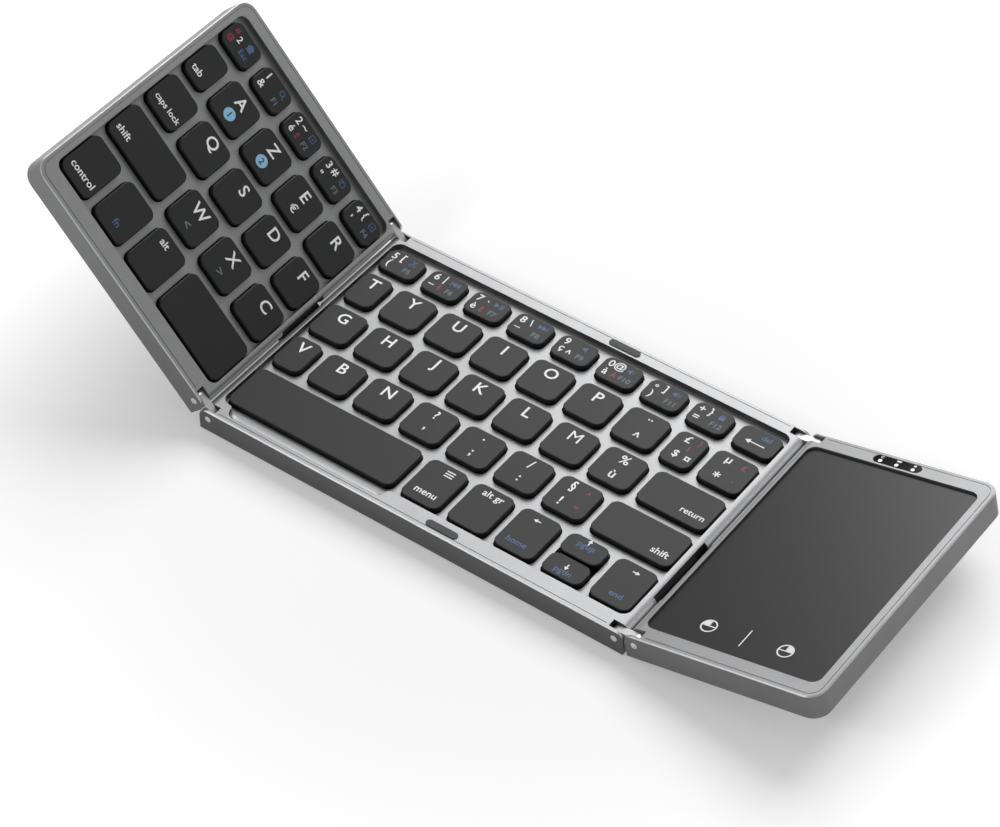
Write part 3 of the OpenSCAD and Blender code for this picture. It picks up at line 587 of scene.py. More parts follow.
def word_object(text):
    """Letters of size 1, a little bold, but for an M, whose outline crosses itself when it is bold."""
    curve = bpy.data.curves.new("word", "FONT")
    curve.body = text
    curve.size = 1.0
    curve.extrude = LETTER_THICKNESS / 2
    curve.offset = 0.0 if text == "M" else 0.013
    curve.resolution_u = 3
    return new_object("word", curve)


def lettering(name, marks, panel, body, paint, z):
    """One piece of print from marks of (text, x, y, height of a capital, side).

    Side is -1, 0 or 1 when x is the left end, the middle or the right end of the text.
    """
    print_mm = sizes().print_height / MM
    solids = [word_object(text) for text, *_ in marks]
    bpy.context.view_layer.update()
    seen = bpy.context.evaluated_depsgraph_get()
    built = bmesh.new()
    for solid, (_, x, y, height, side) in zip(solids, marks):
        mesh = bpy.data.meshes.new_from_object(solid.evaluated_get(seen))
        xs = [v.co.x for v in mesh.vertices]
        ys = [v.co.y for v in mesh.vertices]
        scale = height / CAPITAL
        anchor = (min(xs), (min(xs) + max(xs)) / 2, max(xs))[side + 1]
        mesh.transform(
            Matrix.Translation((x, y, z + print_mm / 2))
            @ Matrix.Diagonal((scale, scale, print_mm / LETTER_THICKNESS, 1))
            @ Matrix.Translation((-anchor, -(min(ys) + max(ys)) / 2, 0))
        )
        built.from_mesh(mesh)
        bpy.data.meshes.remove(mesh)
    for solid in solids:
        bpy.data.curves.remove(solid.data)
    bmesh.ops.remove_doubles(built, verts=built.verts, dist=1e-5)
    mesh = closed_mesh(name, built)
    mesh.transform(panel_matrix(panel))
    return add_piece(name, mesh, body, paint)


# Keys: the same rows as in the source, each as widths and bodies

ROW_DEPTHS = (9.7, 14.0, 14.0, 14.0, 17.2)
ROW_GAP = 3.5
KEY_GAP = 3.0
FIRST_BACK = 41.5
CENTRE_SPAN = (-72.55, 72.55)
LEFT_SPAN = (-83.8, -3.8)
CENTRE_ROWS = (
    ([13.4] * 8 + [13.9], ["centre_digit_keys"] * 8 + ["backspace_key"]),
    ([10.4] + [14.3] * 6 + [10.4, 14.5], ["centre_upper_letter_keys"] * 9),
    ([14.3] * 7 + [24.0], ["centre_home_letter_keys"] * 7 + ["return_key"]),
    ([10.4] + [14.3] * 6 + [27.9], ["centre_lower_letter_keys"] * 7 + ["right_shift_key"]),
    (
        [61.6] + [13.7] * 5,
        ["right_space_key", "system_key", "right_alt_key", "left_arrow_key", "up_arrow_key", "right_arrow_key"],
    ),
)
LEFT_ROWS = (
    ([13.4] * 5, ["escape_key"] + ["left_digit_keys"] * 4),
    ([10.4] + [14.3] * 4, ["tab_key"] + ["left_upper_letter_keys"] * 4),
    ([14.1, 14.3, 14.3, 12.6, 12.6], ["caps_lock_key"] + ["left_home_letter_keys"] * 4),
    ([27.8] + [14.3] * 3, ["left_shift_key"] + ["left_lower_letter_keys"] * 3),
    ([13.7] * 3 + [29.9], ["control_key", "function_key", "left_alt_key", "left_space_key"]),
)


def key_places(rows, span):
    """For each row its keys as (x of the middle, y of the middle, body)."""
    places = []
    back = FIRST_BACK
    for (widths, bodies), depth in zip(rows, ROW_DEPTHS):
        stretch = (span[1] - span[0] - KEY_GAP * (len(widths) - 1)) / sum(widths)
        x = span[0]
        row = []
        for width, body in zip(widths, bodies):
            row.append((x + width * stretch / 2, back - depth / 2, body))
            x += width * stretch + KEY_GAP
        places.append(row)
        back -= depth + ROW_GAP
    return places


# Legends: what each key carries, as (sign, x and y from its middle, height, side, ink)


def mark(sign, x, y, height, ink="white_ink", side=0):
    return sign, x, y, height, side, ink


def letter(sign, *more):
    return [mark(sign, 0.0, 3.0, sizes().letter_height / MM), *more]


def letters(signs):
    return [letter(sign) for sign in signs]


def pair(upper, lower, x=0.0):
    return [mark(upper, x, 3.7, 3.3), mark(lower, x, -2.9, 3.3)]


def reds(upper, lower):
    return [mark(upper, 3.2, 3.8, 2.0, "red_ink"), mark(lower, 3.2, -2.8, 2.0, "red_ink")]


def digit(first, second, under, red, number):
    height = sizes().digit_height / MM
    marks = [mark(first, -4.1, 2.15, height), mark(under, -4.0, -1.7, height)]
    if second:
        marks.append(mark(second, -1.1, 2.15, height))
    if red:
        marks.append(mark(red, -0.9, -1.7, 1.9, "red_ink"))
    return [*marks, mark(number, 2.95, -1.8, 1.95, "grey_ink")]


def word(text, x, y, side=0, ink="white_ink", height=None):
    return mark(text, x, y, height or sizes().word_height / MM, ink, side)


def layer_word(text, x, y, height=2.1):
    return word(text, x, y, 0, "blue_ink", height)


def from_left(text, width, y, height=None):
    """A word near the left edge of a key of this width."""
    return [word(text, -width / 2 + 1.9, y, -1, height=height)]


def centre_legends():
    return (
        (
            digit("5", "[", "(", "", "F5"), digit("6", "|", "–", "§", "F6"),
            digit("7", "`", "è", "È", "F7"), digit("8", "\\", "_", "", "F8"),
            [*digit("9", "", "ç", "", "F9"), mark("^", -1.2, -1.5, 2.7)], digit("0", "@", "à", "À", "F10"),
            digit("°", "]", ")", "", "F11"), digit("+", "}", "=", "", "F12"),
            [layer_word("del", 1.9, 2.3, 1.9)],
        ),
        (
            *letters("TYUIOP"),
            [mark("¨", 0.6, 4.2, 3.6), mark("^", 0.6, -3.0, 3.2)],
            [
                mark("£", -1.1, 4.2, 2.7), mark("$", -1.2, -2.8, 2.7), mark("¤", 2.9, -2.8, 2.7),
                mark("}", 2.9, 4.5, 1.9, "red_ink"), mark("]", 0.9, 0.9, 1.7, "red_ink"),
            ],
            [mark("µ", -2.3, 3.5, 3.0), mark("*", -2.1, -2.8, 3.6), *reds("£", "`")],
        ),
        (*letters("GHJKLM"), pair("%", "ù"), [word("return", 9.8, -2.8, 1, height=2.2)]),
        (
            *letters("VBN"), pair("?", ","), pair(".", ";"), pair("/", ":"),
            [*pair("§", "!", -2.3), *reds("^", "=")], [word("shift", 11.5, -3.0, 1)],
        ),
        (
            [], [word("menu", 0.0, -4.6)], [word("alt gr", 0.4, 5.5)], [layer_word("home", -0.6, -4.6)],
            [layer_word("pgup", 0.0, 5.0), layer_word("pgdn", 0.0, -6.4)], [layer_word("end", 0.5, -4.5)],
        ),
    )


def left_legends():
    return (
        (
            [
                mark("2", -1.7, 0.65, 2.3), mark("Esc", 2.5, -1.7, 1.95, "blue_ink"),
                mark("#", -4.2, 2.05, 1.9, "red_ink"), mark("@", -4.2, -1.6, 1.9, "red_ink"),
            ],
            digit("1", "", "&", "", "F1"), digit("2", "~", "é", "É", "F2"), digit("3", "#", '"', "", "F3"),
            digit("4", "{", "'", "", "F4"),
        ),
        (from_left("tab", 10.46, -3.3), *letters("AZ"), letter("E", mark("€", 0.0, -2.8, 2.9)), letter("R")),
        (from_left("caps lock", 14.1, -3.2, 2.1), *letters("QSDF")),
        (
            from_left("shift", 27.9, -2.9), letter("W", mark("<", 0.0, -3.3, 3.0, "grey_ink")),
            letter("X", mark(">", 0.0, -3.3, 3.0, "grey_ink")), letter("C"),
        ),
        (
            from_left("control", 13.7, -4.2), [word("fn", 0.7, -4.2, ink="blue_ink")],
            [word("alt", -1.8, 5.3)], [],
        ),
    )


# Signs drawn from flat shapes, in mm from their middle


def triangle(x, way):
    return outline((x - way * 0.7, 1.0), (x - way * 0.7, -1.0), (x + way * 0.8, 0.0))


def speaker(waves):
    """A loudspeaker with this many waves."""
    upper = [(0.1, 1.1), (-0.6, 0.4), (-1.2, 0.4)]
    horn = outline(*[(x, -y) for x, y in reversed(upper)], *upper)
    return [horn, *[arc(0.0, 0.0, 0.9 + 0.6 * i, 0.22, -45, 45) for i in range(waves)]]


PAGE = [[*box(0.0, 0.0, 2.3, 2.4), *box(0.0, 0.0, 1.8, 1.9)], box(0.0, 0.0, 1.0, 0.3)]
ICONS = {
    "search": [ring(-0.3, 0.3, 1.0, 0.3), bar(0.4, -0.4, 1.3, -1.3, 0.35)],
    "house": [outline((-1.7, 0.0), (1.7, 0.0), (0.0, 1.5)), box(0.0, -0.75, 2.2, 1.5)],
    "page": PAGE,
    "copy": [
        [*box(0.3, -0.3, 1.8, 1.8), *box(0.3, -0.3, 1.3, 1.3)],
        bar(-1.2, 0.9, 0.6, 0.9, 0.25), bar(-1.1, 0.9, -1.1, -0.9, 0.25),
    ],
    "paste": [*PAGE, box(0.0, 1.2, 1.1, 0.5)],
    "cut": [
        bar(-0.6, -0.7, 0.8, 1.3, 0.3), bar(0.6, -0.7, -0.8, 1.3, 0.3),
        ring(-0.8, -1.0, 0.5, 0.2), ring(0.8, -1.0, 0.5, 0.2),
    ],
    "back": [triangle(-0.7, -1), triangle(0.8, -1), box(-1.7, 0.0, 0.3, 2.0)],
    "play": [triangle(-0.8, 1), box(0.6, 0.0, 0.35, 2.0), box(1.3, 0.0, 0.35, 2.0)],
    "forward": [triangle(-0.8, 1), triangle(0.7, 1), box(1.7, 0.0, 0.3, 2.0)],
    "mute": speaker(0),
    "quieter": speaker(1),
    "louder": speaker(2),
    "lock": [box(0.0, -0.5, 1.8, 1.5), arc(0.0, 0.2, 0.8, 0.28, 0, 180)],
    "menu": [box(0.0, step, 3.0, 0.42) for step in (-1.0, 0.0, 1.0)],
}


def icon(name, x, y):
    """The flat shapes of an icon, its middle at x, y."""
    return [[[(x + dx, y + dy) for dx, dy in loop] for loop in loops] for loops in ICONS[name]]


def arrow(x, y, dx, dy, reach, head):
    """An arrow towards (dx, dy), its middle at x, y."""
    tip = (x + dx * reach / 2, y + dy * reach / 2)
    neck = (tip[0] - dx * head, tip[1] - dy * head)
    side = head * 0.62
    wings = [(neck[0] - way * dy * side, neck[1] + way * dx * side) for way in (1, -1)]
    return [outline(tip, *wings), bar(x - dx * reach / 2, y - dy * reach / 2, *neck, 0.4)]


def click_sign(x, y, side):
    """A round pointer sign with one of its two upper fields filled."""
    angles = [math.radians(i * 11) for i in range(9)]
    field = [(x, y + 0.1), *[(x + side * 2.3 * math.sin(a), y + 2.3 * math.cos(a)) for a in angles]]
    return [
        ring(x, y, 2.55, 0.42), box(x, y, 4.5, 0.36), box(x, y + 1.15, 0.36, 2.2),
        outline(*(field if side < 0 else reversed(field))),
    ]


# Geometry Nodes


def new_tree(name, inputs):
    """A tree with named inputs of (label, kind, value): (tree, outputs of its input node, output node)."""
    tree = bpy.data.node_groups.new(name, "GeometryNodeTree")
    tree.interface.new_socket("Geometry", in_out="INPUT", socket_type="NodeSocketGeometry")
    for label, kind, value in inputs:
        socket = tree.interface.new_socket(label, in_out="INPUT", socket_type=f"NodeSocket{kind}")
        socket.default_value = value
    tree.interface.new_socket("Material", in_out="INPUT", socket_type="NodeSocketMaterial")
    tree.interface.new_socket("Geometry", in_out="OUTPUT", socket_type="NodeSocketGeometry")
    return tree, tree.nodes.new("NodeGroupInput").outputs, tree.nodes.new("NodeGroupOutput")


def finish_tree(tree, given, out, points, instance, **more):
    """Puts the instance on the points, realizes it and gives it the material."""
    placed = add_node(tree, "GeometryNodeInstanceOnPoints", {"Points": points, "Instance": instance, **more})
    realized = add_node(tree, "GeometryNodeRealizeInstances", {"Geometry": placed.outputs["Instances"]})
    inputs = {"Geometry": realized.outputs["Geometry"], "Material": given["Material"]}
    painted = add_node(tree, "GeometryNodeSetMaterial", inputs)
    tree.links.new(painted.outputs["Geometry"], out.inputs["Geometry"])
    return tree


def grown(name, tree, values, matrix, body, paint):
    """Runs a tree with these values on an empty mesh and keeps the result as a plain mesh."""
    carrier = new_object(name, bpy.data.meshes.new(name))
    modifier = carrier.modifiers.new("Nodes", "NODES")
    modifier.node_group = tree
    keys = {item.name: item.identifier for item in tree.interface.items_tree if item.in_out == "INPUT"}
    for label, value in values.items():
        modifier[keys[label]] = value
    modifier[keys["Material"]] = finish(paint)
    bpy.context.view_layer.update()
    mesh = bpy.data.meshes.new_from_object(carrier.evaluated_get(bpy.context.evaluated_depsgraph_get()))
    bpy.data.objects.remove(carrier)
    mesh.name = name
    mesh.transform(matrix)
    return add_piece(name, mesh, body, paint)


def pads_tree():
    """Four round-ended pads with softened lower edges, at the corners of a rectangle."""
    tree, given, out = new_tree("Pads", [
        ("Spacing X", "Float", 50.0), ("Spacing Y", "Float", 80.0),
        ("Length", "Float", 12.5), ("Width", "Float", 2.5), ("Height", "Float", 0.5),
    ])
    inputs = {"Width": given["Length"], "Height": given["Width"]}
    plan = add_node(tree, "GeometryNodeCurvePrimitiveQuadrilateral", inputs)
    half = maths(tree, "MULTIPLY", given["Width"], 0.499)
    inputs = {"Curve": plan.outputs["Curve"], "Count": 6, "Radius": half}
    ends = add_node(tree, "GeometryNodeFilletCurve", inputs, mode="POLY")
    fill = add_node(tree, "GeometryNodeFillCurve", {"Curve": ends.outputs["Curve"]}, mode="NGONS")
    face = fill.outputs["Mesh"]
    body, top = face, True
    for share, width in ((0.6, 1.0), (0.25, 0.985), (0.15, 0.96)):
        height = maths(tree, "MULTIPLY", given["Height"], share)
        inputs = {"Mesh": body, "Selection": top, "Offset Scale": height, "Individual": False}
        pull = add_node(tree, "GeometryNodeExtrudeMesh", inputs, mode="FACES").outputs
        inputs = {"Geometry": pull["Mesh"], "Selection": pull["Top"], "Scale": width}
        body = add_node(tree, "GeometryNodeScaleElements", inputs).outputs["Geometry"]
        top = pull["Top"]
    back = add_node(tree, "GeometryNodeFlipFaces", {"Mesh": face})
    both = add_node(tree, "GeometryNodeJoinGeometry", {"Geometry": body})
    tree.links.new(back.outputs["Mesh"], both.inputs["Geometry"])
    closed = add_node(tree, "GeometryNodeMergeByDistance", {"Geometry": both.outputs["Geometry"]})
    inputs = {"Vertices X": 2, "Vertices Y": 2, "Size X": given["Spacing X"], "Size Y": given["Spacing Y"]}
    corners = add_node(tree, "GeometryNodeMeshGrid", inputs)
    return finish_tree(tree, given, out, corners.outputs["Mesh"], closed.outputs["Geometry"])


def heads_tree():
    """Low domed heads on both side faces of a panel, at the ends of its pins."""
    tree, given, out = new_tree("Pin heads", [
        ("Spacing X", "Float", 50.0), ("Depth", "Float", 98.0),
        ("Radius", "Float", 1.0), ("Rise", "Float", 0.12), ("Columns", "Int", 2),
    ])
    crown = maths(tree, "MULTIPLY", given["Radius"], 0.8)
    inputs = {"Vertices": 28, "Radius Bottom": given["Radius"], "Radius Top": crown, "Depth": given["Rise"]}
    head = add_node(tree, "GeometryNodeMeshCone", inputs)
    inputs = {
        "Vertices X": given["Columns"], "Vertices Y": 2, "Size X": given["Spacing X"], "Size Y": given["Depth"],
    }
    grid = add_node(tree, "GeometryNodeMeshGrid", inputs)
    place = tree.nodes.new("GeometryNodeInputPosition").outputs["Position"]
    across = add_node(tree, "ShaderNodeSeparateXYZ", {"Vector": place}).outputs["Y"]
    turn = maths(tree, "MULTIPLY", maths(tree, "SIGN", across), -math.pi / 2)
    euler = add_node(tree, "ShaderNodeCombineXYZ", {"X": turn}).outputs["Vector"]
    return finish_tree(tree, given, out, grid.outputs["Mesh"], head.outputs["Mesh"], Rotation=euler)


def bars_tree():
    """Small bars side by side, such as socket contacts or the ribs of a knob."""
    tree, given, out = new_tree("Bars", [
        ("Count", "Int", 12), ("Pitch", "Float", 0.5), ("Bar", "Vector", (0.25, 3.0, 0.1)),
    ])
    step = add_node(tree, "ShaderNodeCombineXYZ", {"X": given["Pitch"]})
    inputs = {"Count": given["Count"], "Offset": step.outputs["Vector"]}
    line = add_node(tree, "GeometryNodeMeshLine", inputs, mode="OFFSET")
    block = add_node(tree, "GeometryNodeMeshCube", {"Size": given["Bar"]})
    return finish_tree(tree, given, out, line.outputs["Mesh"], block.outputs["Mesh"])


# Finger scoop


def scoop_path(steps=8):
    """Foot of the scoop's wall from end to end, as (x, y, way in, share of the fillet's size)."""
    left, right = SCOOP_IN - CENTRE_W / 2, SCOOP_IN + SCOOP_L - CENTRE_W / 2
    front, back, corner = SCOOP_LIP - DEPTH / 2, FRONT_RIM - SCOOP_BLEND_R - DEPTH / 2, SCOOP_R
    path = [(left, back - (back - front - corner) * i / 4, 1.0, 0.0, i / 4) for i in range(4)]
    for i in range(steps + 1):
        x, y = math.cos(math.pi / 2 * i / steps), math.sin(math.pi / 2 * i / steps)
        path.append((left + corner * (1 - x), front + corner * (1 - y), x, y, 1.0))
    return path + [(left + right - x, y, -nx, ny, size) for x, y, nx, ny, size in reversed(path)]


def scoop_mesh(name, steps=8, sunk=0.03):
    """Closed fillet at the foot of the scoop's wall, half as wide again as high; it runs out at both ends."""
    place = panel_matrix("centre")
    rings = []
    for x, y, nx, ny, size in scoop_path():
        high = max(sizes().scoop_fillet / MM * size, 0.05)
        wide = 1.5 * high
        angles = [math.pi / 2 * i / steps for i in range(steps + 1)]
        curve = [(wide * (1 - math.cos(a)), high * (1 - math.sin(a))) for a in angles]
        profile = [(-sunk, -sunk), (-sunk, high), *curve, (wide, -sunk)]
        rings.append([place @ Vector((x + nx * d, y + ny * d, SCOOP_FLOOR + z)) for d, z in profile])
    return swept_mesh(name, rings)


# Flat cables


def turned(x, z, tilt):
    return x * math.cos(tilt) - z * math.sin(tilt), x * math.sin(tilt) + z * math.cos(tilt)


def ribbon_path(link_tilt, wing_tilt, steps=9):
    """Side view of a cable in mm from the centre pin of a fold to the right, and where it changes hands."""
    inner, reach, pivot, drop = CABLE_BEND_X, CABLE_END_X, PIVOT_SPAN, CABLE_DROP
    path = [(reach + (inner - reach) * i / 4, drop) for i in range(4)]
    path += [turned(inner, drop, link_tilt * i / steps) for i in range(steps + 1)]
    half = len(path)
    path += [turned(inner + (pivot - 2 * inner) * i / 3, drop, link_tilt) for i in range(1, 3)]
    ox, oz = turned(pivot, 0.0, link_tilt)
    far = [turned(-inner, drop, link_tilt + (wing_tilt - link_tilt) * i / steps) for i in range(steps + 1)]
    far += [turned(-inner + (-reach + inner) * i / 4, drop, wing_tilt) for i in range(1, 5)]
    return path + [(ox + x, oz + z) for x, z in far], half


def ribbon_mesh(name, path, sign, pin, ys):
    """A closed band of the cable's thickness along the path."""
    thick = sizes().ribbon_thickness / MM / 2
    rings = []
    for i, (x, z) in enumerate(path):
        x0, z0 = path[max(i - 1, 0)]
        x1, z1 = path[min(i + 1, len(path) - 1)]
        run = math.hypot(x1 - x0, z1 - z0)
        nx, nz = -(z1 - z0) / run * thick, (x1 - x0) / run * thick
        rings.append([
            (pin.x + sign * (x + side * nx) * MM, y * MM, pin.z + (z + side * nz) * MM)
            for y, side in ((ys[0], -1), (ys[1], -1), (ys[1], 1), (ys[0], 1))
        ])
    return swept_mesh(name, rings)


def ribbon_piece(mesh, a, b, start, end, node):
    """A piece of cable with its finish, fixed in the frame of the part; it hides the model's own cable."""
    piece = new_object(mesh.name, mesh)
    mesh.materials.append(finish("cable_film"))
    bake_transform(piece)
    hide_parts(node)


# Operators


def names_ending(*ends):
    return [name for name in frame["nodes"] if name.endswith(ends)]


class KEYBOARD_OT_casing(Operator):
    """Finish the frames, the plates and the leather covers, and round the foot of the finger scoop"""

    bl_idname = "keyboard.casing"
    bl_label = "Casing"

    def execute(self, context):
        for panel in ("centre", "left", "right"):
            dress([f"{panel}_frame"], f"aluminium_{panel}")
        dress(names_ending("_bottom_plate"), "cover_plate")
        dress(names_ending("_leather"), "pebbled_leather")
        dress(["centre_bumpers"], "bumper")
        add_piece("scoop_fillet", scoop_mesh("scoop_fillet"), "centre_panel", "aluminium_scoop")
        return {"FINISHED"}


class KEYBOARD_OT_inside(Operator):
    """Finish the boards, the rubber sheets, the battery, the socket and the switch"""

    bl_idname = "keyboard.inside"
    bl_label = "Inside"

    def execute(self, context):
        dress([*names_ending("_circuit_board"), "main_board"], "circuit_board")
        dress(names_ending("_dome_sheet"), "silicone")
        dress(["battery"], "battery_foil")
        dress(["light_guides"], "light_guide")
        dress(["usb_c_socket"], "turned_steel")
        dress(["power_switch"], "switch_plastic")
        right = panel_matrix("right")
        bars = bars_tree()
        values = {"Count": 12, "Pitch": 0.5, "Bar": (0.26, 5.0, 0.05)}
        for name, rise in (("upper_contacts", 0.37), ("lower_contacts", -0.37)):
            place = right @ Matrix.Translation((SOCKET_X - 5.5 * values["Pitch"], CONTACT_Y, PORT_Z + rise))
            grown(name, bars, values, place, "right_wing", "turned_steel")
        values = {"Count": 4, "Pitch": 0.4, "Bar": (0.16, 0.16, 0.9)}
        place = right @ Matrix.Translation((SLIDER_X - 1.5 * values["Pitch"], DEPTH / 2 - 0.1, PORT_Z))
        grown("switch_ribs", bars, values, place, "power_switch", "switch_plastic")
        return {"FINISHED"}


class KEYBOARD_OT_keys(Operator):
    """Finish the key caps"""

    bl_idname = "keyboard.keys"
    bl_label = "Key caps"

    def execute(self, context):
        for rows, paint in ((CENTRE_ROWS, "keycap_centre"), (LEFT_ROWS, "keycap_left")):
            dress({body for _, bodies in rows for body in bodies}, paint)
        dress(["down_arrow_key"], "keycap_centre")
        return {"FINISHED"}


class KEYBOARD_OT_legends(Operator):
    """Print the letters, digits and words on the keys"""

    bl_idname = "keyboard.legends"
    bl_label = "Legends"

    def execute(self, context):
        self.print_panel("centre", key_places(CENTRE_ROWS, CENTRE_SPAN), centre_legends())
        self.print_panel("left", key_places(LEFT_ROWS, LEFT_SPAN), left_legends())
        return {"FINISHED"}

    def print_panel(self, panel, places, legends):
        prints = {}
        for row, marks_of_row in zip(places, legends):
            for (x, y, body), marks in zip(row, marks_of_row):
                for sign, dx, dy, height, side, ink in marks:
                    rides = "down_arrow_key" if sign == "pgdn" else body
                    prints.setdefault((rides, ink), []).append((sign, x + dx, y + dy, height, side))
        for (body, ink), marks in prints.items():
            lettering(f"{body}_{ink}", marks, panel, body, ink, KEY_TOP - SUNK)


class KEYBOARD_OT_signs(Operator):
    """Print the signs of the function layer, the arrows and the two pairing marks"""

    bl_idname = "keyboard.signs"
    bl_label = "Key signs"

    def execute(self, context):
        centre = key_places(CENTRE_ROWS, CENTRE_SPAN)
        left = key_places(LEFT_ROWS, LEFT_SPAN)
        low = KEY_TOP - SUNK
        high = low + sizes().print_height / MM

        def put(name, shapes, panel, body, ink):
            flat_shapes(name, shapes, panel, body, ink, low, high)

        drawn = ("cut", "back", "play", "forward", "mute", "quieter", "louder", "lock")
        shapes = [part for sign, (x, y, _) in zip(drawn, centre[0]) for part in icon(sign, x + 2.9, y + 2.2)]
        put("centre_layer_signs", shapes, "centre", "centre_digit_keys", "blue_ink")
        drawn = ("search", "page", "copy", "paste")
        shapes = [part for sign, (x, y, _) in zip(drawn, left[0][1:]) for part in icon(sign, x + 3.1, y + 2.1)]
        put("left_layer_signs", shapes, "left", "left_digit_keys", "blue_ink")
        x, y, body = left[0][0]
        put("escape_sign", icon("house", x + 2.5, y + 2.0), "left", body, "blue_ink")
        x, y, body = centre[0][8]
        put("backspace_arrow", arrow(x - 0.3, y - 1.1, -1, 0, 6.6, 1.6), "centre", body, "white_ink")
        x, y, body = centre[4][1]
        put("menu_lines", icon("menu", x + 1.5, y + 5.4), "centre", body, "white_ink")
        for index, way, dx, dy, body in (
            (3, (-1, 0), -0.5, 5.5, "left_arrow_key"), (4, (0, 1), 0.0, 7.4, "up_arrow_key"),
            (4, (0, -1), 0.0, -4.2, "down_arrow_key"), (5, (1, 0), 0.6, 5.5, "right_arrow_key"),
        ):
            x, y, _ = centre[4][index]
            put(f"{body}_sign", arrow(x + dx, y + dy, *way, 2.4, 1.2), "centre", body, "white_ink")
        discs = []
        for index in (1, 2):
            x, y, body = left[1][index]
            discs.append(disc(x, y - 2.9, 2.2))
            marks = [(str(index), x, y - 2.9, 2.1, 0)]
            lettering(f"pairing_{index}", marks, "left", body, "keycap_left", high - SUNK / 2)
        put("pairing_discs", discs, "left", body, "pale_blue_ink")
        return {"FINISHED"}


class KEYBOARD_OT_touch_plate(Operator):
    """Finish the touch plate and its marks, and the window with its lights"""

    bl_idname = "keyboard.touch_plate"
    bl_label = "Touch plate"

    def execute(self, context):
        dress(["touch_plate"], "touch_glass")
        dress(["indicator_window"], "window")
        marks = [*click_sign(19.9, -35.2, -1), *click_sign(45.3, -35.1, 1), box(32.2, -35.3, 0.34, 7.0)]
        self.put("touch_marks", marks, "white_ink", TOUCH_TOP)
        left, middle, right = (LIGHT_X + i * LIGHT_PITCH for i in (-1, 0, 1))
        self.put("lights", [disc(x, LIGHT_Y, 0.62) for x in (left, middle, right)], "lamp_dot", RIM_TOP)
        signs = [
            arc(left, LIGHT_SIGN_Y, 0.55, 0.2, 30, 330),
            box(middle, LIGHT_SIGN_Y, 1.4, 0.7), box(middle + 0.9, LIGHT_SIGN_Y, 0.2, 0.35),
            box(right, LIGHT_SIGN_Y - 0.15, 0.8, 0.6), arc(right, LIGHT_SIGN_Y + 0.1, 0.35, 0.13, 0, 180),
        ]
        self.put("light_signs", signs, "white_ink", RIM_TOP)
        return {"FINISHED"}

    def put(self, name, shapes, paint, top):
        flat_shapes(name, shapes, "right", "right_wing", paint, top - SUNK, top + MARK_RISE)


class KEYBOARD_OT_folds(Operator):
    """Finish the pins and link bars, cap the pins and lay the flat cables"""

    bl_idname = "keyboard.folds"
    bl_label = "Folds"

    def execute(self, context):
        dress(names_ending("_hinge_pins", "_screws", "_links"), "turned_steel")
        heads = heads_tree()
        for panel, x, spacing, columns in (
            ("centre", 0.0, CENTRE_W - 2 * PIN_IN, 2), ("left", -PIN_IN, 0.0, 1), ("right", PIN_IN, 0.0, 1),
        ):
            values = {
                "Spacing X": spacing, "Depth": DEPTH, "Radius": sizes().pin_head / MM,
                "Rise": PIN_RISE, "Columns": columns,
            }
            place = panel_matrix(panel) @ Matrix.Translation((x, 0, PIN_Z))
            grown(f"{panel}_pin_heads", heads, values, place, panel_body(panel), "turned_steel")
        self.lay_cable("left", -1, sizes().left_tilt)
        self.lay_cable("right", 1, sizes().right_tilt)
        return {"FINISHED"}

    def lay_cable(self, side, sign, wing_tilt):
        pin = Vector(JOINTS[f"{side}_fold_inner"]["pos_m"])
        path, half = ribbon_path(LINK_TILT[side], wing_tilt)

        def at(index):
            x, z = path[index]
            return pin.x + sign * x * MM, 0.0, pin.z + z * MM

        for name, run, bodies, ends in (
            ("inner", path[: half + 2], ("centre_panel", f"{side}_links"), (3, half - 1)),
            ("outer", path[half + 1 :], (f"{side}_links", f"{side}_wing"), (half + 2, half + 11)),
        ):
            mesh = ribbon_mesh(f"{side}_{name}_ribbon", run, sign, pin, CABLE_Y[side])
            ribbon_piece(mesh, *bodies, *map(at, ends), f"{side}_flat_cable")


class KEYBOARD_OT_feet(Operator):
    """Make the soft-edged feet"""

    bl_idname = "keyboard.feet"
    bl_label = "Feet"

    def execute(self, context):
        pads = pads_tree()
        given = sizes()
        for panel, width, middle in (
            ("centre", CENTRE_W, 0.0), ("left", LEFT_W, -LEFT_W / 2), ("right", RIGHT_W, RIGHT_W / 2),
        ):
            values = {
                "Spacing X": width - 2 * FOOT_IN[0], "Spacing Y": DEPTH - 2 * FOOT_IN[1],
                "Length": given.foot_length / MM, "Width": given.foot_width / MM,
                "Height": given.foot_height / MM,
            }
            turn = Matrix.Rotation(math.pi, 4, "X")
            place = panel_matrix(panel) @ Matrix.Translation((middle, 0, FOOT_TOP)) @ turn
            piece = grown(f"{panel}_soft_feet", pads, values, place, panel_body(panel), "rubber")
            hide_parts(f"{panel}_feet")
        return {"FINISHED"}


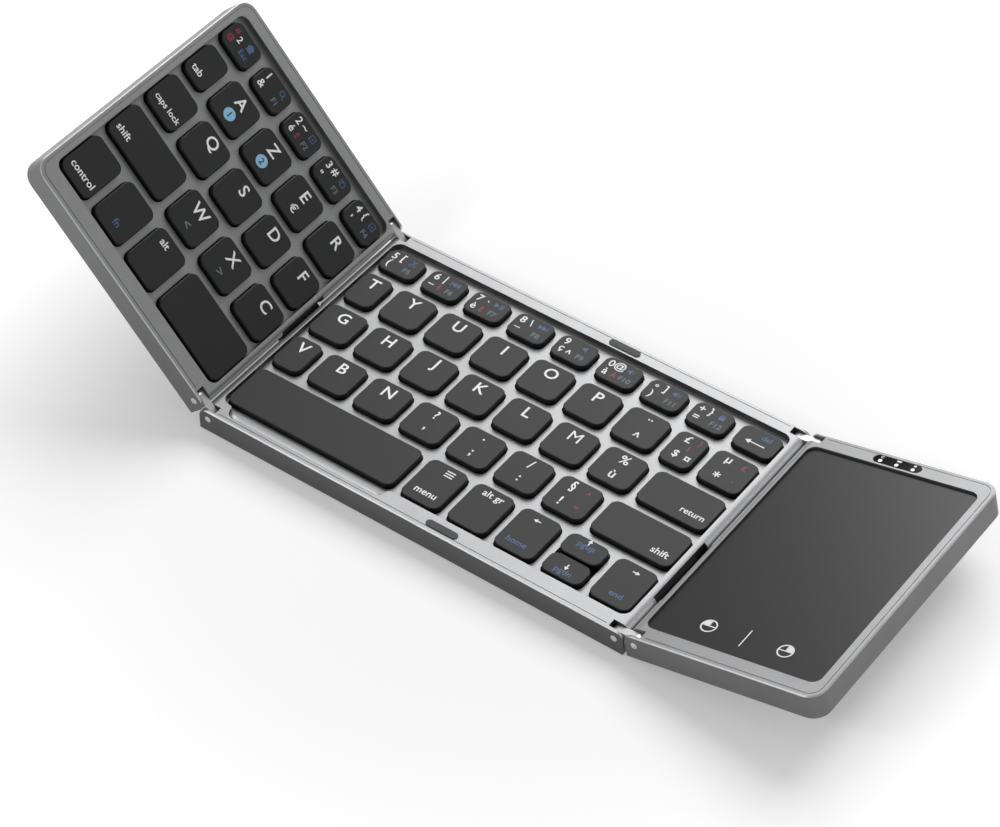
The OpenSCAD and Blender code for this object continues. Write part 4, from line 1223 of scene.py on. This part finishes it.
class KEYBOARD_OT_stage(Operator):
    """Set up the floor, the lamps, the world and the camera"""

    bl_idname = "keyboard.stage"
    bl_label = "Stage"

    def execute(self, context):
        given = context.scene.keyboard_stage
        if given.show_floor:
            self.add_floor(given.floor_glow)
        self.add_world(given.sky)
        self.add_lamp("key_lamp", (-0.2, 1.15, 1.25), (0.0, 0.0, 0.02), (1.4, 1.2), given.key_light)
        self.add_lamp("sheen_lamp", (-0.77, 1.33, 0.93), (0.1, 0.0, 0.02), (0.5, 0.5), given.sheen_light)
        self.add_lamp("edge_lamp", (-0.7, -1.16, 0.95), (0.0, 0.0, 0.02), (0.4, 0.4), given.edge_light)
        self.add_camera(context.scene)
        context.scene.view_settings.view_transform = "Standard"
        return {"FINISHED"}

    def add_lamp(self, name, place, target, size, watts):
        light = bpy.data.lights.new(name, "AREA")
        light.shape = "RECTANGLE"
        light.size, light.size_y = size
        light.energy = watts
        lamp = new_object(name, light)
        lamp.location = place
        lamp.rotation_euler = (Vector(target) - Vector(place)).to_track_quat("-Z", "Y").to_euler()

    def add_floor(self, glow):
        """A pale floor that shines by itself in pictures and mirrors, less near the keyboard, which paints a
        soft shadow around it.
        """
        built = bmesh.new()
        bmesh.ops.create_grid(built, x_segments=4, y_segments=4, size=6.0)
        mesh = bpy.data.meshes.new("floor")
        built.to_mesh(mesh)
        built.free()
        material, tree = new_finish("floor_paint")
        set_shader(tree, Base_Color=(0.8, 0.8, 0.8, 1.0), Roughness=0.9, Specular_IOR_Level=0.0)
        rays = tree.nodes.new("ShaderNodeLightPath")
        seen = maths(tree, "MAXIMUM", rays.outputs["Is Camera Ray"], rays.outputs["Is Glossy Ray"])
        seen = maths(tree, "MAXIMUM", seen, rays.outputs["Is Transmission Ray"])
        away = add_node(tree, "ShaderNodeVectorMath", {0: object_coordinates(tree)}, operation="LENGTH")
        # Painted shadow: the glow falls from its full level far out to 0.26 near the keyboard, darkening the
        # floor and its reflections there.
        far = mapped(tree, away.outputs["Value"], 0.08, 0.26, 0.26, glow, interpolation_type="SMOOTHSTEP")
        glowing = add_node(tree, "ShaderNodeEmission", {"Strength": maths(tree, "MULTIPLY", seen, far)})
        inputs = {0: tree.nodes["Principled BSDF"].outputs["BSDF"], 1: glowing.outputs["Emission"]}
        both = add_node(tree, "ShaderNodeAddShader", inputs)
        tree.links.new(both.outputs["Shader"], tree.nodes["Material Output"].inputs["Surface"])
        mesh.materials.append(material)
        floor = new_object("floor", mesh)

    def add_world(self, level):
        """White behind the keyboard, a sky that darkens upward in mirrors, and an even low light."""
        world = bpy.data.worlds.new("studio")
        world.use_nodes = True
        bpy.context.scene.world = world
        tree = world.node_tree
        rays = tree.nodes.new("ShaderNodeLightPath").outputs
        direction = tree.nodes.new("ShaderNodeTexCoord").outputs["Generated"]
        rise = add_node(tree, "ShaderNodeSeparateXYZ", {"Vector": direction}).outputs["Z"]
        height = mapped(tree, rise, 0.1, 0.6, 1.0, 0.3, interpolation_type="SMOOTHSTEP")
        mirrored = maths(tree, "MAXIMUM", rays["Is Glossy Ray"], rays["Is Transmission Ray"])
        strength = maths(tree, "MAXIMUM", rays["Is Camera Ray"], maths(tree, "MULTIPLY", mirrored, height))
        background = tree.nodes["Background"]
        background.inputs["Color"].default_value = WHITE
        tree.links.new(maths(tree, "MAXIMUM", strength, level), background.inputs["Strength"])

    def add_camera(self, scene):
        """The camera that was fitted to the photo."""
        lens = bpy.data.cameras.new("camera")
        lens.sensor_width = 36.0
        lens.lens = FOCAL_PX / PHOTO_W_PX * lens.sensor_width
        lens.clip_start = 0.01
        camera = new_object("camera", lens)
        right = Vector((0.80777, 0.58949, -0.00358)).normalized()
        back = Vector((0.41831, -0.56891, 0.70807)).normalized()
        up = back.cross(right).normalized()
        turn = Matrix((right, up, back)).transposed().to_4x4()
        camera.matrix_world = Matrix.Translation((0.40928, -0.56021, 0.70767)) @ turn
        scene.camera = camera


class KEYBOARD_PT_panel(Panel):
    bl_label = "Folding Keyboard"
    bl_idname = "KEYBOARD_PT_panel"
    bl_space_type = "VIEW_3D"
    bl_region_type = "UI"
    bl_category = "Keyboard"

    def draw(self, context):
        scene = context.scene
        for group in (scene.keyboard_sizes, scene.keyboard_colours, scene.keyboard_stage):
            group_box = self.layout.box()
            for name in group.bl_rna.properties.keys():
                if name not in ("rna_type", "name"):
                    group_box.prop(group, name)
        for operator in OPERATORS:
            self.layout.operator(operator.bl_idname)


GROUPS = (KeyboardSizes, KeyboardColours, StageSettings)
OPERATORS = (
    KEYBOARD_OT_casing, KEYBOARD_OT_inside, KEYBOARD_OT_keys, KEYBOARD_OT_legends, KEYBOARD_OT_signs,
    KEYBOARD_OT_touch_plate, KEYBOARD_OT_folds, KEYBOARD_OT_feet, KEYBOARD_OT_stage,
)
CLASSES = (*GROUPS, *OPERATORS, KEYBOARD_PT_panel)


def register():
    for cls in CLASSES:
        bpy.utils.register_class(cls)
    bpy.types.Scene.keyboard_sizes = PointerProperty(type=KeyboardSizes)
    bpy.types.Scene.keyboard_colours = PointerProperty(type=KeyboardColours)
    bpy.types.Scene.keyboard_stage = PointerProperty(type=StageSettings)


def unregister():
    del bpy.types.Scene.keyboard_stage
    del bpy.types.Scene.keyboard_colours
    del bpy.types.Scene.keyboard_sizes
    for cls in reversed(CLASSES):
        bpy.utils.unregister_class(cls)


def main():
    register()
    bpy.ops.keyboard.casing()
    bpy.ops.keyboard.inside()
    bpy.ops.keyboard.keys()
    bpy.ops.keyboard.legends()
    bpy.ops.keyboard.signs()
    bpy.ops.keyboard.touch_plate()
    bpy.ops.keyboard.folds()
    bpy.ops.keyboard.feet()
    bpy.ops.keyboard.stage()


if __name__ == "__main__":
    main()
